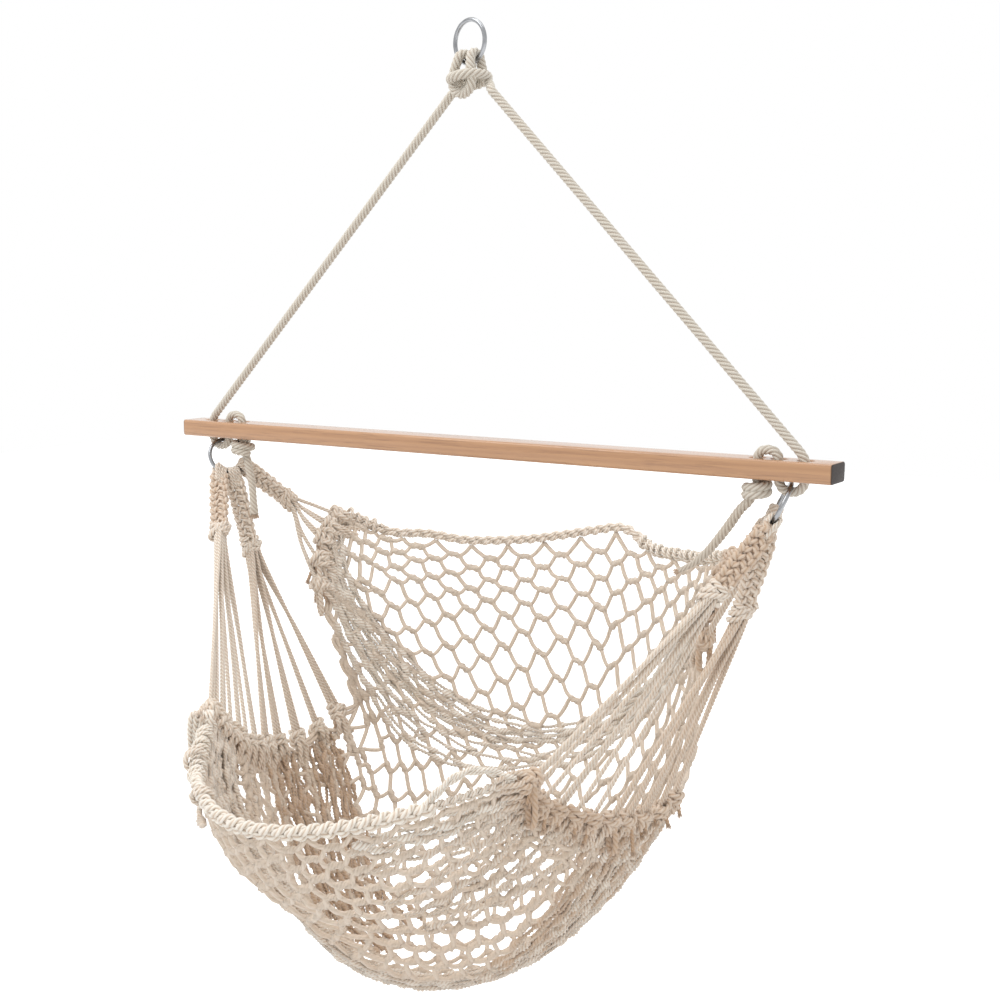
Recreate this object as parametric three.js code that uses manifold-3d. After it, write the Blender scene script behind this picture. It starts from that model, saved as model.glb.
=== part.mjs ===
// Hammock chair: a knotted cord sling under an oak spreader bar, hung by one rope from a steel ring.
// X runs along the bar, Y to the back and Z up, and the origin is the inner top of the hanging ring.
import * as THREE from 'three';
import Module from 'manifold-3d';
import { mergeVertices } from 'three/addons/utils/BufferGeometryUtils.js';

const wasm = await Module();
wasm.setup();

// Driving dimensions, in millimetres
const touch = 0.3; // gap kept between pieces that rest on each other
const barLength = 1067;
const barDepth = 46;
const barHeight = 25;
const barRounding = 4;
const barEndBevel = 2;
const barDrop = 573; // from the hanging point down to the middle of the bar
const endHoleInset = 41.5; // from the bar's end to the middle of its outermost hole
const bightSpan = 35; // between the two holes that hold the loop under the bar
const loopSpan = 28; // between the two holes that hold the loop over the bar
const holeSlack = 1.8; // how much wider a hole is than the rope
const holeMouth = 23; // across the flared mouth of each hole
const mouthDepth = 4.5;
const ropeSize = 12.5;
const bightDrop = 15; // from the bar's underside to the middle of the rope's loop
const loopRise = 10.5; // from the bar's top to the middle of the rope's loop
const ringSize = 63;
const ringWire = 6;
const hitchSlack = 2.1; // how loosely the rope's hitch sits round the ring's wire
const cordSize = 6;
const armEyeWidth = 13.5; // plaited arm where it grips the ring
const armEyeDepth = 16;
const armWidth = 30;
const armDepth = 13.5;
const armKnotSize = 31;
const armKnotLength = 26;
const gatherKnotSize = 15;
const gatherKnotLength = 26;
const backRopeSize = 16.5;
const frontRopeSize = 19;
const netHalfWidth = 340; // middle of the sling to the top corner of its back
const netReach = 469; // middle of the bar forward to the front of the sling
const netDrop = 731; // middle of the bar down to the bottom of the sling
const netThickness = 6;
const netSeam = 0.4; // how far each piece of net stands back from the line it shares with the next

// Counts
const roundSides = 8;
const cordSides = 6;
const holeSides = 12;
const ringSteps = 24;
const netColumns = 8;
const netRows = 40;

// Where the ends of the plaited arms hang, as shares of the net's three sizes
const armEndShares = {
  front: [1.212, -0.162, -0.199],
  middle: [1.224, -0.009, -0.246],
  back: [1.179, 0.139, -0.154],
};
// Where each arm grips its side ring, in degrees from the ring's lowest point towards the back
const armGripDegrees = { front: -38, middle: 0, back: 40 };
// Which rows of the sling's edge each arm gathers, as shares of the way from the back's top to the front
const gatherRowShares = {
  front: [1, 0.95, 0.9, 0.85, 0.8, 0.75, 0.7],
  middle: [0.65, 0.6, 0.55, 0.5, 0.45],
  back: [0, 0.05, 0.1, 0.15, 0.2],
};

// The sling's form, from the top of the back to the front edge. Each row holds the middle's y and z,
// then the side's x, y and z, as shares of netReach, netDrop and netHalfWidth, then the fullness.
const slingShares = [
  [0.544, -0.245, 1.000, 0.277, -0.200, 2.4],
  [0.550, -0.397, 0.994, 0.181, -0.243, 2.4],
  [0.511, -0.568, 0.971, 0.141, -0.342, 2.4],
  [0.415, -0.734, 0.929, 0.170, -0.465, 2.4],
  [0.245, -0.884, 0.888, 0.209, -0.588, 2.6],
  [0.008, -0.971, 0.894, 0.043, -0.643, 2.7],
  [-0.231, -0.999, 0.871, -0.170, -0.637, 2.6],
  [-0.461, -0.955, 0.818, -0.320, -0.610, 2.2],
  [-0.677, -0.822, 0.759, -0.437, -0.575, 1.9],
  [-0.902, -0.681, 0.726, -0.537, -0.528, 2.2],
  [-1.000, -0.566, 0.753, -0.567, -0.493, 2.0],
];
// The back's top edge hangs unevenly: how far it stands above that form from left to right, as shares
const topEdgeShares = [0, -0.03, -0.024, -0.027, -0.018, -0.006, 0.01, 0.027, 0.037, 0, -0.009, -0.011, 0];
const topEdgeFadeShare = 0.25;

// Worked out from the sizes above
const barZ = -barDrop;
const barTop = barZ + barHeight / 2;
const barUnder = barZ - barHeight / 2;
const holeOneX = barLength / 2 - endHoleInset;
const holeTwoX = holeOneX - bightSpan;
const holeThreeX = holeTwoX - loopSpan;
const ropeRadius = ropeSize / 2;
const wireRadius = ringWire / 2;
const ringRadius = ringSize / 2 - wireRadius;
const wireZ = -(ringSize - 1.5 * ringWire); // middle of the hanging ring's wire at its lowest point
const ringYaw = THREE.MathUtils.degToRad(-12);

// Materials
const cotton = new THREE.MeshStandardMaterial({ color: 0xdccbb3, roughness: 0.95, metalness: 0 });
const oak = new THREE.MeshStandardMaterial({ color: 0xcfa078, roughness: 0.6, metalness: 0 });
const zinc = new THREE.MeshStandardMaterial({ color: 0xb4b7b9, roughness: 0.25, metalness: 1 });

const chair = new THREE.Group();
const sides = [['left', -1], ['right', 1]];

function addPiece(name, geometry, material) {
  const mesh = new THREE.Mesh(geometry, material.clone());
  mesh.name = name;
  chair.add(mesh);
}

// Turns a geometry right way out, so that its signed volume is positive
function facingOut(geometry) {
  const shape = geometry.index ? geometry : mergeVertices(geometry);
  const place = shape.attributes.position;
  const index = shape.index.array;
  const [a, b, c] = [new THREE.Vector3(), new THREE.Vector3(), new THREE.Vector3()];
  let volume = 0;
  for (let i = 0; i < index.length; i += 3) {
    a.fromBufferAttribute(place, index[i]);
    b.fromBufferAttribute(place, index[i + 1]);
    c.fromBufferAttribute(place, index[i + 2]);
    volume += a.dot(b.cross(c));
  }
  if (volume < 0) {
    for (let i = 0; i < index.length; i += 3) [index[i], index[i + 1]] = [index[i + 1], index[i]];
  }
  return shape;
}

function positionsOnly(geometry) {
  const bare = geometry.clone();
  bare.deleteAttribute('normal');
  bare.deleteAttribute('uv');
  return facingOut(mergeVertices(bare));
}

function solidFrom(geometry) {
  const bare = positionsOnly(geometry);
  const vertProperties = new Float32Array(bare.attributes.position.array);
  const triVerts = new Uint32Array(bare.index.array);
  return new wasm.Manifold(new wasm.Mesh({ numProp: 3, vertProperties, triVerts }));
}

function geometryFrom(solid) {
  const mesh = solid.getMesh();
  const geometry = new THREE.BufferGeometry();
  geometry.setAttribute('position', new THREE.BufferAttribute(mesh.vertProperties, 3));
  geometry.setIndex(new THREE.BufferAttribute(mesh.triVerts, 1));
  geometry.computeVertexNormals();
  return geometry;
}

function roundSection(radius, count = roundSides) {
  const section = new THREE.Shape();
  for (let i = 0; i < count; i += 1) {
    const turn = 2 * Math.PI * i / count;
    const place = [radius * Math.cos(turn), radius * Math.sin(turn)];
    if (i === 0) section.moveTo(...place);
    else section.lineTo(...place);
  }
  section.closePath();
  return section;
}

// A rope or cord of one thickness through a list of points
function tube(points, size, stepSize = size) {
  const path = new THREE.CatmullRomCurve3(points, false, 'centripetal');
  const steps = Math.max(1, Math.round(path.getLength() / stepSize));
  return new THREE.ExtrudeGeometry(roundSection(size / 2), { steps, extrudePath: path, bevelEnabled: false });
}

function straightTube(from, to, size, count) {
  const path = new THREE.LineCurve3(from, to);
  const options = { steps: 1, extrudePath: path, bevelEnabled: false };
  return new THREE.ExtrudeGeometry(roundSection(size / 2, count), options);
}

// A closed solid through a row of rings that all have the same number of points
function loft(rings) {
  const count = rings[0].length;
  const positions = rings.flat().flatMap((point) => [point.x, point.y, point.z]);
  const index = [];
  for (let r = 0; r < rings.length - 1; r += 1) {
    for (let k = 0; k < count; k += 1) {
      const a = r * count + k;
      const b = r * count + (k + 1) % count;
      index.push(a, b, a + count, b, b + count, a + count);
    }
  }
  for (const [ring, flip] of [[0, true], [rings.length - 1, false]]) {
    const middle = rings[ring].reduce((sum, point) => sum.add(point), new THREE.Vector3());
    middle.divideScalar(count);
    const hub = positions.length / 3;
    positions.push(middle.x, middle.y, middle.z);
    for (let k = 0; k < count; k += 1) {
      const edge = [ring * count + k, ring * count + (k + 1) % count];
      index.push(hub, ...(flip ? edge.reverse() : edge));
    }
  }
  const geometry = new THREE.BufferGeometry();
  geometry.setAttribute('position', new THREE.Float32BufferAttribute(positions, 3));
  geometry.setIndex(index);
  return facingOut(geometry);
}

// A smooth value along a table, at a share of its length
function alongTable(table, share) {
  const last = table.length - 1;
  const at = Math.min(Math.max(share, 0), 1) * last;
  const i = Math.min(Math.floor(at), last - 1);
  const f = at - i;
  const width = table[0].length;
  return Array.from({ length: width }, (_, k) => {
    const p1 = table[i][k];
    const p2 = table[i + 1][k];
    const p0 = i > 0 ? table[i - 1][k] : 2 * p1 - p2;
    const p3 = i + 2 <= last ? table[i + 2][k] : 2 * p2 - p1;
    const bend = 2 * p0 - 5 * p1 + 4 * p2 - p3;
    const twist = 3 * p1 - p0 - 3 * p2 + p3;
    return (2 * p1 + (p2 - p0) * f + bend * f * f + twist * f * f * f) / 2;
  });
}

// The sling's surface: across runs from -1 at the left to 1 at the right, down from 0 to 1 at the front
function slingPoint(across, down) {
  const [middleY, middleZ, sideX, sideY, sideZ, fullness] = alongTable(slingShares, down);
  const near = Math.abs(across) ** fullness;
  const [lift] = alongTable(topEdgeShares.map((share) => [share]), (across + 1) / 2);
  const fade = Math.max(0, 1 - down / topEdgeFadeShare) ** 2;
  return new THREE.Vector3(
    netHalfWidth * sideX * across,
    netReach * (middleY + (sideY - middleY) * near),
    barZ + netDrop * (middleZ + (sideZ - middleZ) * near + lift * fade),
  );
}

function slingSlopes(across, down) {
  const share = 0.002;
  const a = Math.min(across + share, 1);
  const d = Math.min(down + share, 1);
  const slopeAcross = slingPoint(a, down).sub(slingPoint(a - share, down)).normalize();
  const slopeDown = slingPoint(across, d).sub(slingPoint(across, d - share)).normalize();
  const normal = slopeAcross.clone().cross(slopeDown).normalize();
  return { slopeAcross, slopeDown, normal };
}

// Spreader bar: a rounded oak slat with three holes at each end
function spreaderBar() {
  const width = barDepth - 2 * barEndBevel;
  const height = barHeight - 2 * barEndBevel;
  const corner = barRounding - barEndBevel;
  const section = new THREE.Shape();
  section.moveTo(corner - width / 2, -height / 2);
  section.lineTo(width / 2 - corner, -height / 2);
  section.absarc(width / 2 - corner, corner - height / 2, corner, -Math.PI / 2, 0);
  section.absarc(width / 2 - corner, height / 2 - corner, corner, 0, Math.PI / 2);
  section.absarc(corner - width / 2, height / 2 - corner, corner, Math.PI / 2, Math.PI);
  section.absarc(corner - width / 2, corner - height / 2, corner, Math.PI, 1.5 * Math.PI);
  const slat = new THREE.ExtrudeGeometry(section, {
    depth: barLength - 2 * barEndBevel,
    curveSegments: 2,
    bevelThickness: barEndBevel,
    bevelSize: barEndBevel,
    bevelSegments: 2,
  });
  slat.translate(0, 0, barEndBevel - barLength / 2);
  slat.rotateY(Math.PI / 2);
  slat.rotateX(Math.PI / 2);
  slat.translate(0, 0, barZ);
  const bore = (ropeSize + holeSlack) / 2;
  const flare = (holeMouth / 2 - bore) / mouthDepth;
  const holeProfile = [
    [0, -barHeight],
    [bore + flare * (mouthDepth + barHeight / 2), -barHeight],
    [bore, mouthDepth - barHeight / 2],
    [bore, barHeight / 2 - mouthDepth],
    [bore + flare * (mouthDepth + barHeight / 2), barHeight],
    [0, barHeight],
  ].map(([radius, height]) => new THREE.Vector2(radius, height));
  let bar = solidFrom(slat);
  for (const [, side] of sides) {
    for (const holeX of [holeOneX, holeTwoX, holeThreeX]) {
      const hole = new THREE.LatheGeometry(holeProfile, holeSides);
      hole.rotateX(Math.PI / 2);
      hole.translate(side * holeX, 0, barZ);
      bar = bar.subtract(solidFrom(hole));
    }
  }
  return geometryFrom(bar);
}

// Steel rings
function ringGeometry(wire) {
  return new THREE.TorusGeometry(ringRadius, wire, roundSides, ringSteps);
}

function hangingRing() {
  const ring = ringGeometry(wireRadius);
  return ring.rotateX(Math.PI / 2).rotateZ(ringYaw).translate(0, 0, ringWire - ringSize / 2);
}

// Each side ring leans inward and back from the rope loop that carries it
function sideRingFrame(side) {
  const down = new THREE.Vector3(-0.447 * side, -0.04, -0.894).normalize();
  const back = new THREE.Vector3(-0.35 * side, 0.937, 0.1);
  back.addScaledVector(down, -back.dot(down)).normalize();
  const wireGap = bightDrop - ropeRadius - 1.8 * touch - wireRadius;
  const middle = new THREE.Vector3(side * (holeOneX + holeTwoX) / 2, 0, barUnder - wireGap);
  middle.addScaledVector(down, ringRadius);
  return { down, back, middle };
}

function sideRing(side, wire) {
  const { down, back, middle } = sideRingFrame(side);
  const place = new THREE.Matrix4().makeBasis(down, back, down.clone().cross(back)).setPosition(middle);
  return ringGeometry(wire).applyMatrix4(place);
}

// The hanging rope's middle is hitched on the ring. Its turns are in rope thicknesses, right half only.
const hitchLegShares = [[4, 0.1, -3.8], [2.6, 0.5, -2.5], [1.5, 1.05, -1.75], [0.9, 1.15, -0.95]];
const hitchLobeShares = [[1.4, -1.15, -0.8], [1.85, -1.2, -1.65], [1.5, -1.15, -2.45]];
const hitchCrossingShare = [0, -1.05, -2.7];

function hitchPoint(side, [x, y, z]) {
  const point = new THREE.Vector3(side * x * ropeSize, y * ropeSize, z * ropeSize);
  return point.applyAxisAngle(new THREE.Vector3(0, 0, 1), ringYaw).add(new THREE.Vector3(0, 0, wireZ));
}

// Each leg of rope runs straight from the hitch to the bend above the bar's outermost hole
const legTop = (side) => hitchPoint(side, hitchLegShares[0]);
const legFoot = (side) => new THREE.Vector3(side * (holeOneX - ropeSize * 1.15), 0, barTop + ropeSize * 1.35);
const legRun = (side) => legFoot(side).sub(legTop(side)).normalize();

function hitchHalf(side) {
  const reach = (wireRadius + hitchSlack + ropeRadius) / ropeSize;
  const [top, ...legs] = hitchLegShares.map((share) => hitchPoint(side, share));
  legs.unshift(top, top.clone().addScaledVector(legRun(side), -ropeSize));
  const archShares = [0.76, 0.79, 0.84, 0.92, 1.02];
  const arch = archShares.map((x, step) => {
    const turn = Math.PI * step / (archShares.length - 1);
    const rise = (ringRadius - Math.sqrt(ringRadius ** 2 - (x * ropeSize) ** 2)) / ropeSize;
    return hitchPoint(side, [x, reach * Math.cos(turn), rise + reach * Math.sin(turn)]);
  });
  const lobe = hitchLobeShares.map((share) => hitchPoint(side, share));
  return [...legs, ...arch, ...lobe];
}

const hitchTurns = [...hitchHalf(-1), hitchPoint(1, hitchCrossingShare), ...hitchHalf(1).reverse()];

// From the bar's outermost hole the rope runs down, through the side ring, up, over and down to its stopper
function lacingPoints(side) {
  const place = (x, z) => new THREE.Vector3(side * x, 0, z);
  const half = (holeOneX + holeTwoX) / 2;
  const crown = (holeTwoX + holeThreeX) / 2;
  const turnShares = [[0.1, 0.35], [0.45, 0.84]];
  const bight = turnShares.map(([x, z]) => [x * bightSpan / 2, barUnder - z * bightDrop]);
  const loop = turnShares.map(([x, z]) => [x * loopSpan / 2, barTop + z * loopRise]);
  return [
    place(holeOneX - ropeSize * 0.2, barTop + ropeSize * 0.2),
    place(holeOneX, barTop - mouthDepth),
    place(holeOneX, barUnder + mouthDepth),
    ...bight.map(([x, z]) => place(holeOneX - x, z)),
    place(half, barUnder - bightDrop),
    ...bight.map(([x, z]) => place(holeTwoX + x, z)).reverse(),
    place(holeTwoX, barUnder + mouthDepth),
    place(holeTwoX, barTop - mouthDepth),
    ...loop.map(([x, z]) => place(holeTwoX - x, z)),
    place(crown, barTop + loopRise),
    ...loop.map(([x, z]) => place(holeThreeX + x, z)).reverse(),
    place(holeThreeX, barTop - mouthDepth),
    place(holeThreeX, barUnder),
  ];
}

// The stopper is a wrap of the rope's own end round itself, tight under the bar
function stopperPoints(side) {
  const wrapRadius = ropeSize + 2 * touch;
  const turns = 1.15;
  const count = 12;
  const firstTurn = Math.PI + 0.35;
  const lowest = barUnder - ropeSize * 1.75;
  const highest = barUnder - ropeRadius - touch;
  const points = [new THREE.Vector3(side * holeThreeX, 0, barUnder - ropeSize * 1.25)];
  points.push(new THREE.Vector3(side * (holeThreeX - ropeSize * 0.4), 0, barUnder - ropeSize * 1.8));
  for (let i = 0; i < count; i += 1) {
    const climb = i / (count - 1);
    const turn = firstTurn + 2 * Math.PI * turns * climb;
    const x = holeThreeX + wrapRadius * Math.cos(turn);
    const z = THREE.MathUtils.lerp(lowest, highest, climb);
    points.push(new THREE.Vector3(side * x, wrapRadius * Math.sin(turn), z));
  }
  return points;
}

// A free tail hangs below each stopper. The routes are chosen by hand, in millimetres below the bar's middle.
const tailRoutes = {
  left: [[-421, 0, -43], [-416, -3, -56], [-409, -7, -84], [-404, -11, -112], [-403, -12, -129]],
  right: [[421, 0, -44], [409, 1, -54], [388, 2, -82], [362, 3, -114], [343, 4, -131], [322, 5, -143]],
};

function tailTube(side) {
  const points = tailRoutes[side].map(([x, y, z]) => new THREE.Vector3(x, y, barZ + z));
  return tube(points, ropeSize, ropeSize * 1.5);
}

// Plaited arms: each grips the side ring, widens, and ends at its knot
function armEnd(side, arm) {
  const [x, y, z] = armEndShares[arm];
  return new THREE.Vector3(side * x * netHalfWidth, y * netReach, barZ + z * netDrop);
}

function armGrip(side, arm) {
  const { down, back, middle } = sideRingFrame(side);
  const turn = THREE.MathUtils.degToRad(armGripDegrees[arm]);
  const outward = down.clone().multiplyScalar(Math.cos(turn)).addScaledVector(back, Math.sin(turn));
  const along = back.clone().multiplyScalar(Math.cos(turn)).addScaledVector(down, -Math.sin(turn));
  return { place: middle.clone().addScaledVector(outward, ringRadius), along };
}

const slabSideShares = [
  [1, 0.45], [0.72, 1], [0, 1.12], [-0.72, 1], [-1, 0.45],
  [-1, -0.45], [-0.72, -1], [0, -1.12], [0.72, -1], [1, -0.45],
];

function slabRing(middle, run, wide, width, depth) {
  const flat = wide.clone().addScaledVector(run, -wide.dot(run)).normalize();
  const through = run.clone().cross(flat);
  return slabSideShares.map(([a, b]) => middle.clone()
    .addScaledVector(flat, a * width / 2)
    .addScaledVector(through, b * depth / 2));
}

function spreadLine(side, arm) {
  const rows = gatherRowShares[arm];
  return slingPoint(side, rows[0]).sub(slingPoint(side, rows[rows.length - 1])).normalize();
}

function plaitedArm(side, arm) {
  const { place, along } = armGrip(side, arm);
  const end = armEnd(side, arm);
  const run = end.clone().sub(place);
  const length = run.length() - armKnotLength / 2 - touch;
  run.normalize();
  const spread = spreadLine(side, arm);
  if (spread.dot(along) < 0) spread.negate();
  const eye = armEyeDepth / 2;
  const stations = [
    [-eye, armEyeWidth * 0.7, armEyeDepth * 0.6],
    [-eye * 0.6, armEyeWidth, armEyeDepth * 0.95],
    [eye * 0.2, armEyeWidth, armEyeDepth],
    [eye * 1.4, armEyeWidth * 1.3, armDepth * 1.1],
    [length * 0.45, armWidth, armDepth],
    [length * 0.8, armWidth * 0.96, armDepth],
    [length, armWidth * 0.8, armDepth],
  ];
  const rings = stations.map(([reach, width, depth]) => {
    const wide = along.clone().lerp(spread, Math.max(0, reach / length));
    return slabRing(place.clone().addScaledVector(run, reach), run, wide, width, depth);
  });
  return geometryFrom(solidFrom(loft(rings)).subtract(solidFrom(sideRing(side, wireRadius + touch))));
}

// A small knot shape: a barrel with drawn-in ends along an axis
const barrelShares = [[0, -0.5], [0.72, -0.44], [1, -0.2], [0.9, 0], [1, 0.2], [0.72, 0.44], [0, 0.5]];
const knotShares = [[0, -0.5], [0.85, -0.28], [0.85, 0.28], [0, 0.5]];

function knot(middle, axis, size, length, shares, count) {
  const profile = shares.map(([r, z]) => new THREE.Vector2(r * size / 2, z * length));
  const shape = new THREE.LatheGeometry(profile, count);
  const turn = new THREE.Quaternion().setFromUnitVectors(new THREE.Vector3(0, 1, 0), axis);
  return shape.applyQuaternion(turn).translate(middle.x, middle.y, middle.z);
}

// A fan of cords: the arm's knot, its cords, and the knots that gather the sling's edge loops
function fan(side, arm) {
  const end = armEnd(side, arm);
  const { place } = armGrip(side, arm);
  const run = end.clone().sub(place).normalize();
  let solid = solidFrom(knot(end, run, armKnotSize, armKnotLength, barrelShares, 10));
  for (const row of gatherRowShares[arm]) {
    const { slopeAcross, slopeDown } = slingSlopes(side, row);
    const standOff = gatherKnotSize / 2 + touch;
    const tie = slingPoint(side, row).addScaledVector(slopeAcross, side * standOff);
    solid = solid.add(solidFrom(straightTube(end, tie, cordSize, cordSides)));
    solid = solid.add(solidFrom(knot(tie, slopeDown, gatherKnotSize, gatherKnotLength, knotShares, 6)));
  }
  return geometryFrom(solid);
}

// The thick plaited ropes along the sling's front edge and the back's top edge
function edgeRope(down, size, outward) {
  const count = 26;
  const endShare = 0.955;
  const points = [];
  for (let i = 0; i <= count; i += 1) {
    const across = endShare * (2 * i / count - 1);
    const { slopeDown } = slingSlopes(across, down);
    points.push(slingPoint(across, down).addScaledVector(slopeDown, outward * (size / 2 + 2 * touch)));
  }
  return tube(points, size, size * 1.8);
}

// The net: a lattice of diamond meshes. Even rows of knots reach both sides, odd rows lie between them.
function netKnot(row, column) {
  const across = row % 2 === 0 ? 2 * column / netColumns - 1 : (2 * column + 1) / netColumns - 1;
  return { key: `${row},${column}`, across, down: row / netRows };
}

function netMesh(topRow, column) {
  const even = topRow % 2 === 0;
  const left = even ? column - 1 : column;
  return {
    corners: [
      netKnot(topRow, column),
      netKnot(topRow + 1, left),
      netKnot(topRow + 2, column),
      netKnot(topRow + 1, left + 1),
    ],
  };
}

const netColumnNames = ['left', 'centre_left', 'centre_right', 'right'];
const netBandNames = ['back_top', 'back_middle', 'back_low', 'seat_rear', 'seat_middle', 'seat_front'];

function netPieceOf(topRow, column) {
  const bands = netBandNames.length;
  const band = Math.min(Math.floor(topRow * bands / (netRows - 1)), bands - 1);
  const wide = netColumns / netColumnNames.length;
  const place = Math.min(Math.floor(column / wide), netColumnNames.length - 1);
  return `net_${netBandNames[band]}_${netColumnNames[place]}`;
}

const netPieces = new Map();
const netOwners = new Map();
for (let row = 0; row <= netRows - 2; row += 1) {
  const first = row % 2 === 0 ? 1 : 0;
  for (let column = first; column < netColumns; column += 1) {
    const piece = netPieceOf(row, column);
    const mesh = netMesh(row, column);
    mesh.middle = mesh.corners.reduce((sum, c) => sum.add(slingPoint(c.across, c.down)), new THREE.Vector3());
    mesh.middle.divideScalar(4);
    if (!netPieces.has(piece)) netPieces.set(piece, []);
    netPieces.get(piece).push(mesh);
    for (const corner of mesh.corners) {
      if (!netOwners.has(corner.key)) netOwners.set(corner.key, []);
      netOwners.get(corner.key).push({ piece, middle: mesh.middle });
    }
  }
}

// A corner that several pieces of net share stands back a little inside each of them
function cornerPlace(piece, corner) {
  const point = slingPoint(corner.across, corner.down);
  const owners = netOwners.get(corner.key);
  if (owners.every((owner) => owner.piece === piece)) return point;
  const inward = new THREE.Vector3();
  for (const owner of owners) {
    if (owner.piece === piece) inward.add(owner.middle.clone().sub(point).normalize());
  }
  return point.addScaledVector(inward.normalize(), netSeam);
}

function netPiece(piece, meshes) {
  const positions = [];
  const index = [];
  const knots = new Map();
  const edges = new Map();
  const addPair = (point, normal) => {
    const above = point.clone().addScaledVector(normal, netThickness / 2);
    const below = point.clone().addScaledVector(normal, -netThickness / 2);
    positions.push(...above.toArray(), ...below.toArray());
    return positions.length / 3 - 2;
  };
  const addQuad = (a, b, c, d) => index.push(a, b, c, a, c, d);
  for (const mesh of meshes) {
    const places = mesh.corners.map((corner) => cornerPlace(piece, corner));
    const normals = mesh.corners.map((corner) => slingSlopes(corner.across, corner.down).normal);
    const outer = mesh.corners.map((corner, k) => {
      if (!knots.has(corner.key)) knots.set(corner.key, addPair(places[k], normals[k]));
      return knots.get(corner.key);
    });
    const inner = places.map((place, k) => {
      const one = places[(k + 1) % 4].clone().sub(place).normalize();
      const other = places[(k + 3) % 4].clone().sub(place).normalize();
      const inset = one.clone().add(other).multiplyScalar(cordSize / 2 / one.clone().cross(other).length());
      inset.clampLength(0, places[(k + 2) % 4].distanceTo(place) * 0.4);
      return addPair(place.clone().add(inset), normals[k]);
    });
    for (let k = 0; k < 4; k += 1) {
      const next = (k + 1) % 4;
      addQuad(outer[k], outer[next], inner[next], inner[k]);
      addQuad(outer[next] + 1, outer[k] + 1, inner[k] + 1, inner[next] + 1);
      addQuad(inner[k], inner[next], inner[next] + 1, inner[k] + 1);
      const twin = `${outer[next]},${outer[k]}`;
      if (edges.has(twin)) edges.delete(twin);
      else edges.set(`${outer[k]},${outer[next]}`, [outer[k], outer[next]]);
    }
  }
  for (const [a, b] of edges.values()) addQuad(b, a, a + 1, b + 1);
  const geometry = new THREE.BufferGeometry();
  geometry.setAttribute('position', new THREE.Float32BufferAttribute(positions, 3));
  geometry.setIndex(index);
  return facingOut(geometry);
}

// Assembly
addPiece('hanging_ring', hangingRing(), zinc);
addPiece('ring_hitch', tube(hitchTurns, ropeSize, ropeSize * 0.55), cotton);
addPiece('spreader_bar', spreaderBar(), oak);
for (const [name, side] of sides) {
  const run = legRun(side);
  const legFrom = legTop(side).addScaledVector(run, touch);
  const legTo = legFoot(side).addScaledVector(run, -touch);
  addPiece(`rope_leg_${name}`, straightTube(legFrom, legTo, ropeSize), cotton);
  const bend = legFoot(side).addScaledVector(run, ropeSize * 0.6);
  const lacing = [legFoot(side), bend, ...lacingPoints(side), ...stopperPoints(side)];
  addPiece(`rope_lacing_${name}`, tube(lacing, ropeSize, ropeSize * 0.75), cotton);
  addPiece(`rope_tail_${name}`, tailTube(name), cotton);
  addPiece(`side_ring_${name}`, sideRing(side, wireRadius), zinc);
  for (const arm of Object.keys(armEndShares)) {
    addPiece(`plaited_arm_${name}_${arm}`, plaitedArm(side, arm), cotton);
    addPiece(`cord_fan_${name}_${arm}`, fan(side, arm), cotton);
  }
}
addPiece('back_edge_rope', edgeRope(0, backRopeSize, -1), cotton);
addPiece('front_edge_rope', edgeRope(1, frontRopeSize, 1), cotton);
for (const [piece, meshes] of netPieces) addPiece(piece, netPiece(piece, meshes), cotton);

export default chair;
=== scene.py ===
import math
import random

import bmesh
import bpy
import numpy as np
from mathutils import Matrix, Vector, noise


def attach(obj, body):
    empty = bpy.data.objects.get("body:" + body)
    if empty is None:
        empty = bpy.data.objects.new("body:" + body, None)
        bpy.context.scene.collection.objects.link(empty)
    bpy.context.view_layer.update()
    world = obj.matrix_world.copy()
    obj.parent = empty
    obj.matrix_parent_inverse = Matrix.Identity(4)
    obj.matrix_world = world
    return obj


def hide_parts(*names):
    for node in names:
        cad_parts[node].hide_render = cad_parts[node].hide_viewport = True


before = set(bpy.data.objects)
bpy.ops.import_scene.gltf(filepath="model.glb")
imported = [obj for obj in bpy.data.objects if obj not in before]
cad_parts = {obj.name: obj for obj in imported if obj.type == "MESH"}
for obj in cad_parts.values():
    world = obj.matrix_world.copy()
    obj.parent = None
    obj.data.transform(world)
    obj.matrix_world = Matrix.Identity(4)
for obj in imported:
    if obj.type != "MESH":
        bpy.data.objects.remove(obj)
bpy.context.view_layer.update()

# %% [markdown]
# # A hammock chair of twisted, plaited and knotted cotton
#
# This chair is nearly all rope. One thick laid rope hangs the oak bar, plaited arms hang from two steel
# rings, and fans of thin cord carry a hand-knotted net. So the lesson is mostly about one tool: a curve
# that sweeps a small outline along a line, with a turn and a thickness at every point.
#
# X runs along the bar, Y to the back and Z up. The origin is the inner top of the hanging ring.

shelf = bpy.context.scene.collection
chance_seed = 11
chance = random.Random(chance_seed)
vary = chance.uniform
noise.seed_set(chance_seed)
both_sides = (("left", -1), ("right", 1))


def placed(name, data):
    """A new object in the scene"""
    made = bpy.data.objects.new(name, data)
    shelf.objects.link(made)
    return made


def mesh_of(shape, name):
    """The mesh of a shape that needs no more work"""
    mesh = bpy.data.meshes.new(name)
    shape.to_mesh(mesh)
    shape.free()
    return mesh


def made_mesh(source):
    """The mesh of an object, as its outline or its modifiers make it"""
    bpy.context.view_layer.update()
    return bpy.data.meshes.new_from_object(source.evaluated_get(bpy.context.evaluated_depsgraph_get()))


# %% [markdown]
# ## The camera
#
# The camera stands a little to the right of the chair, level with the bar, and looks slightly down. Its
# place was found by fitting the bar, the rings and the rope, so the long lens and the angles are exact.

# %% Camera
camera_data = bpy.data.cameras.new("studio_camera")
camera_data.sensor_width = 36
camera_data.lens = 52.565
camera = placed("studio_camera", camera_data)
camera.location = (1.1373, -1.6854, -0.3442)
camera.rotation_euler = (math.radians(90 - 8.5197), 0, math.radians(32.8687))
bpy.context.scene.camera = camera

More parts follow.
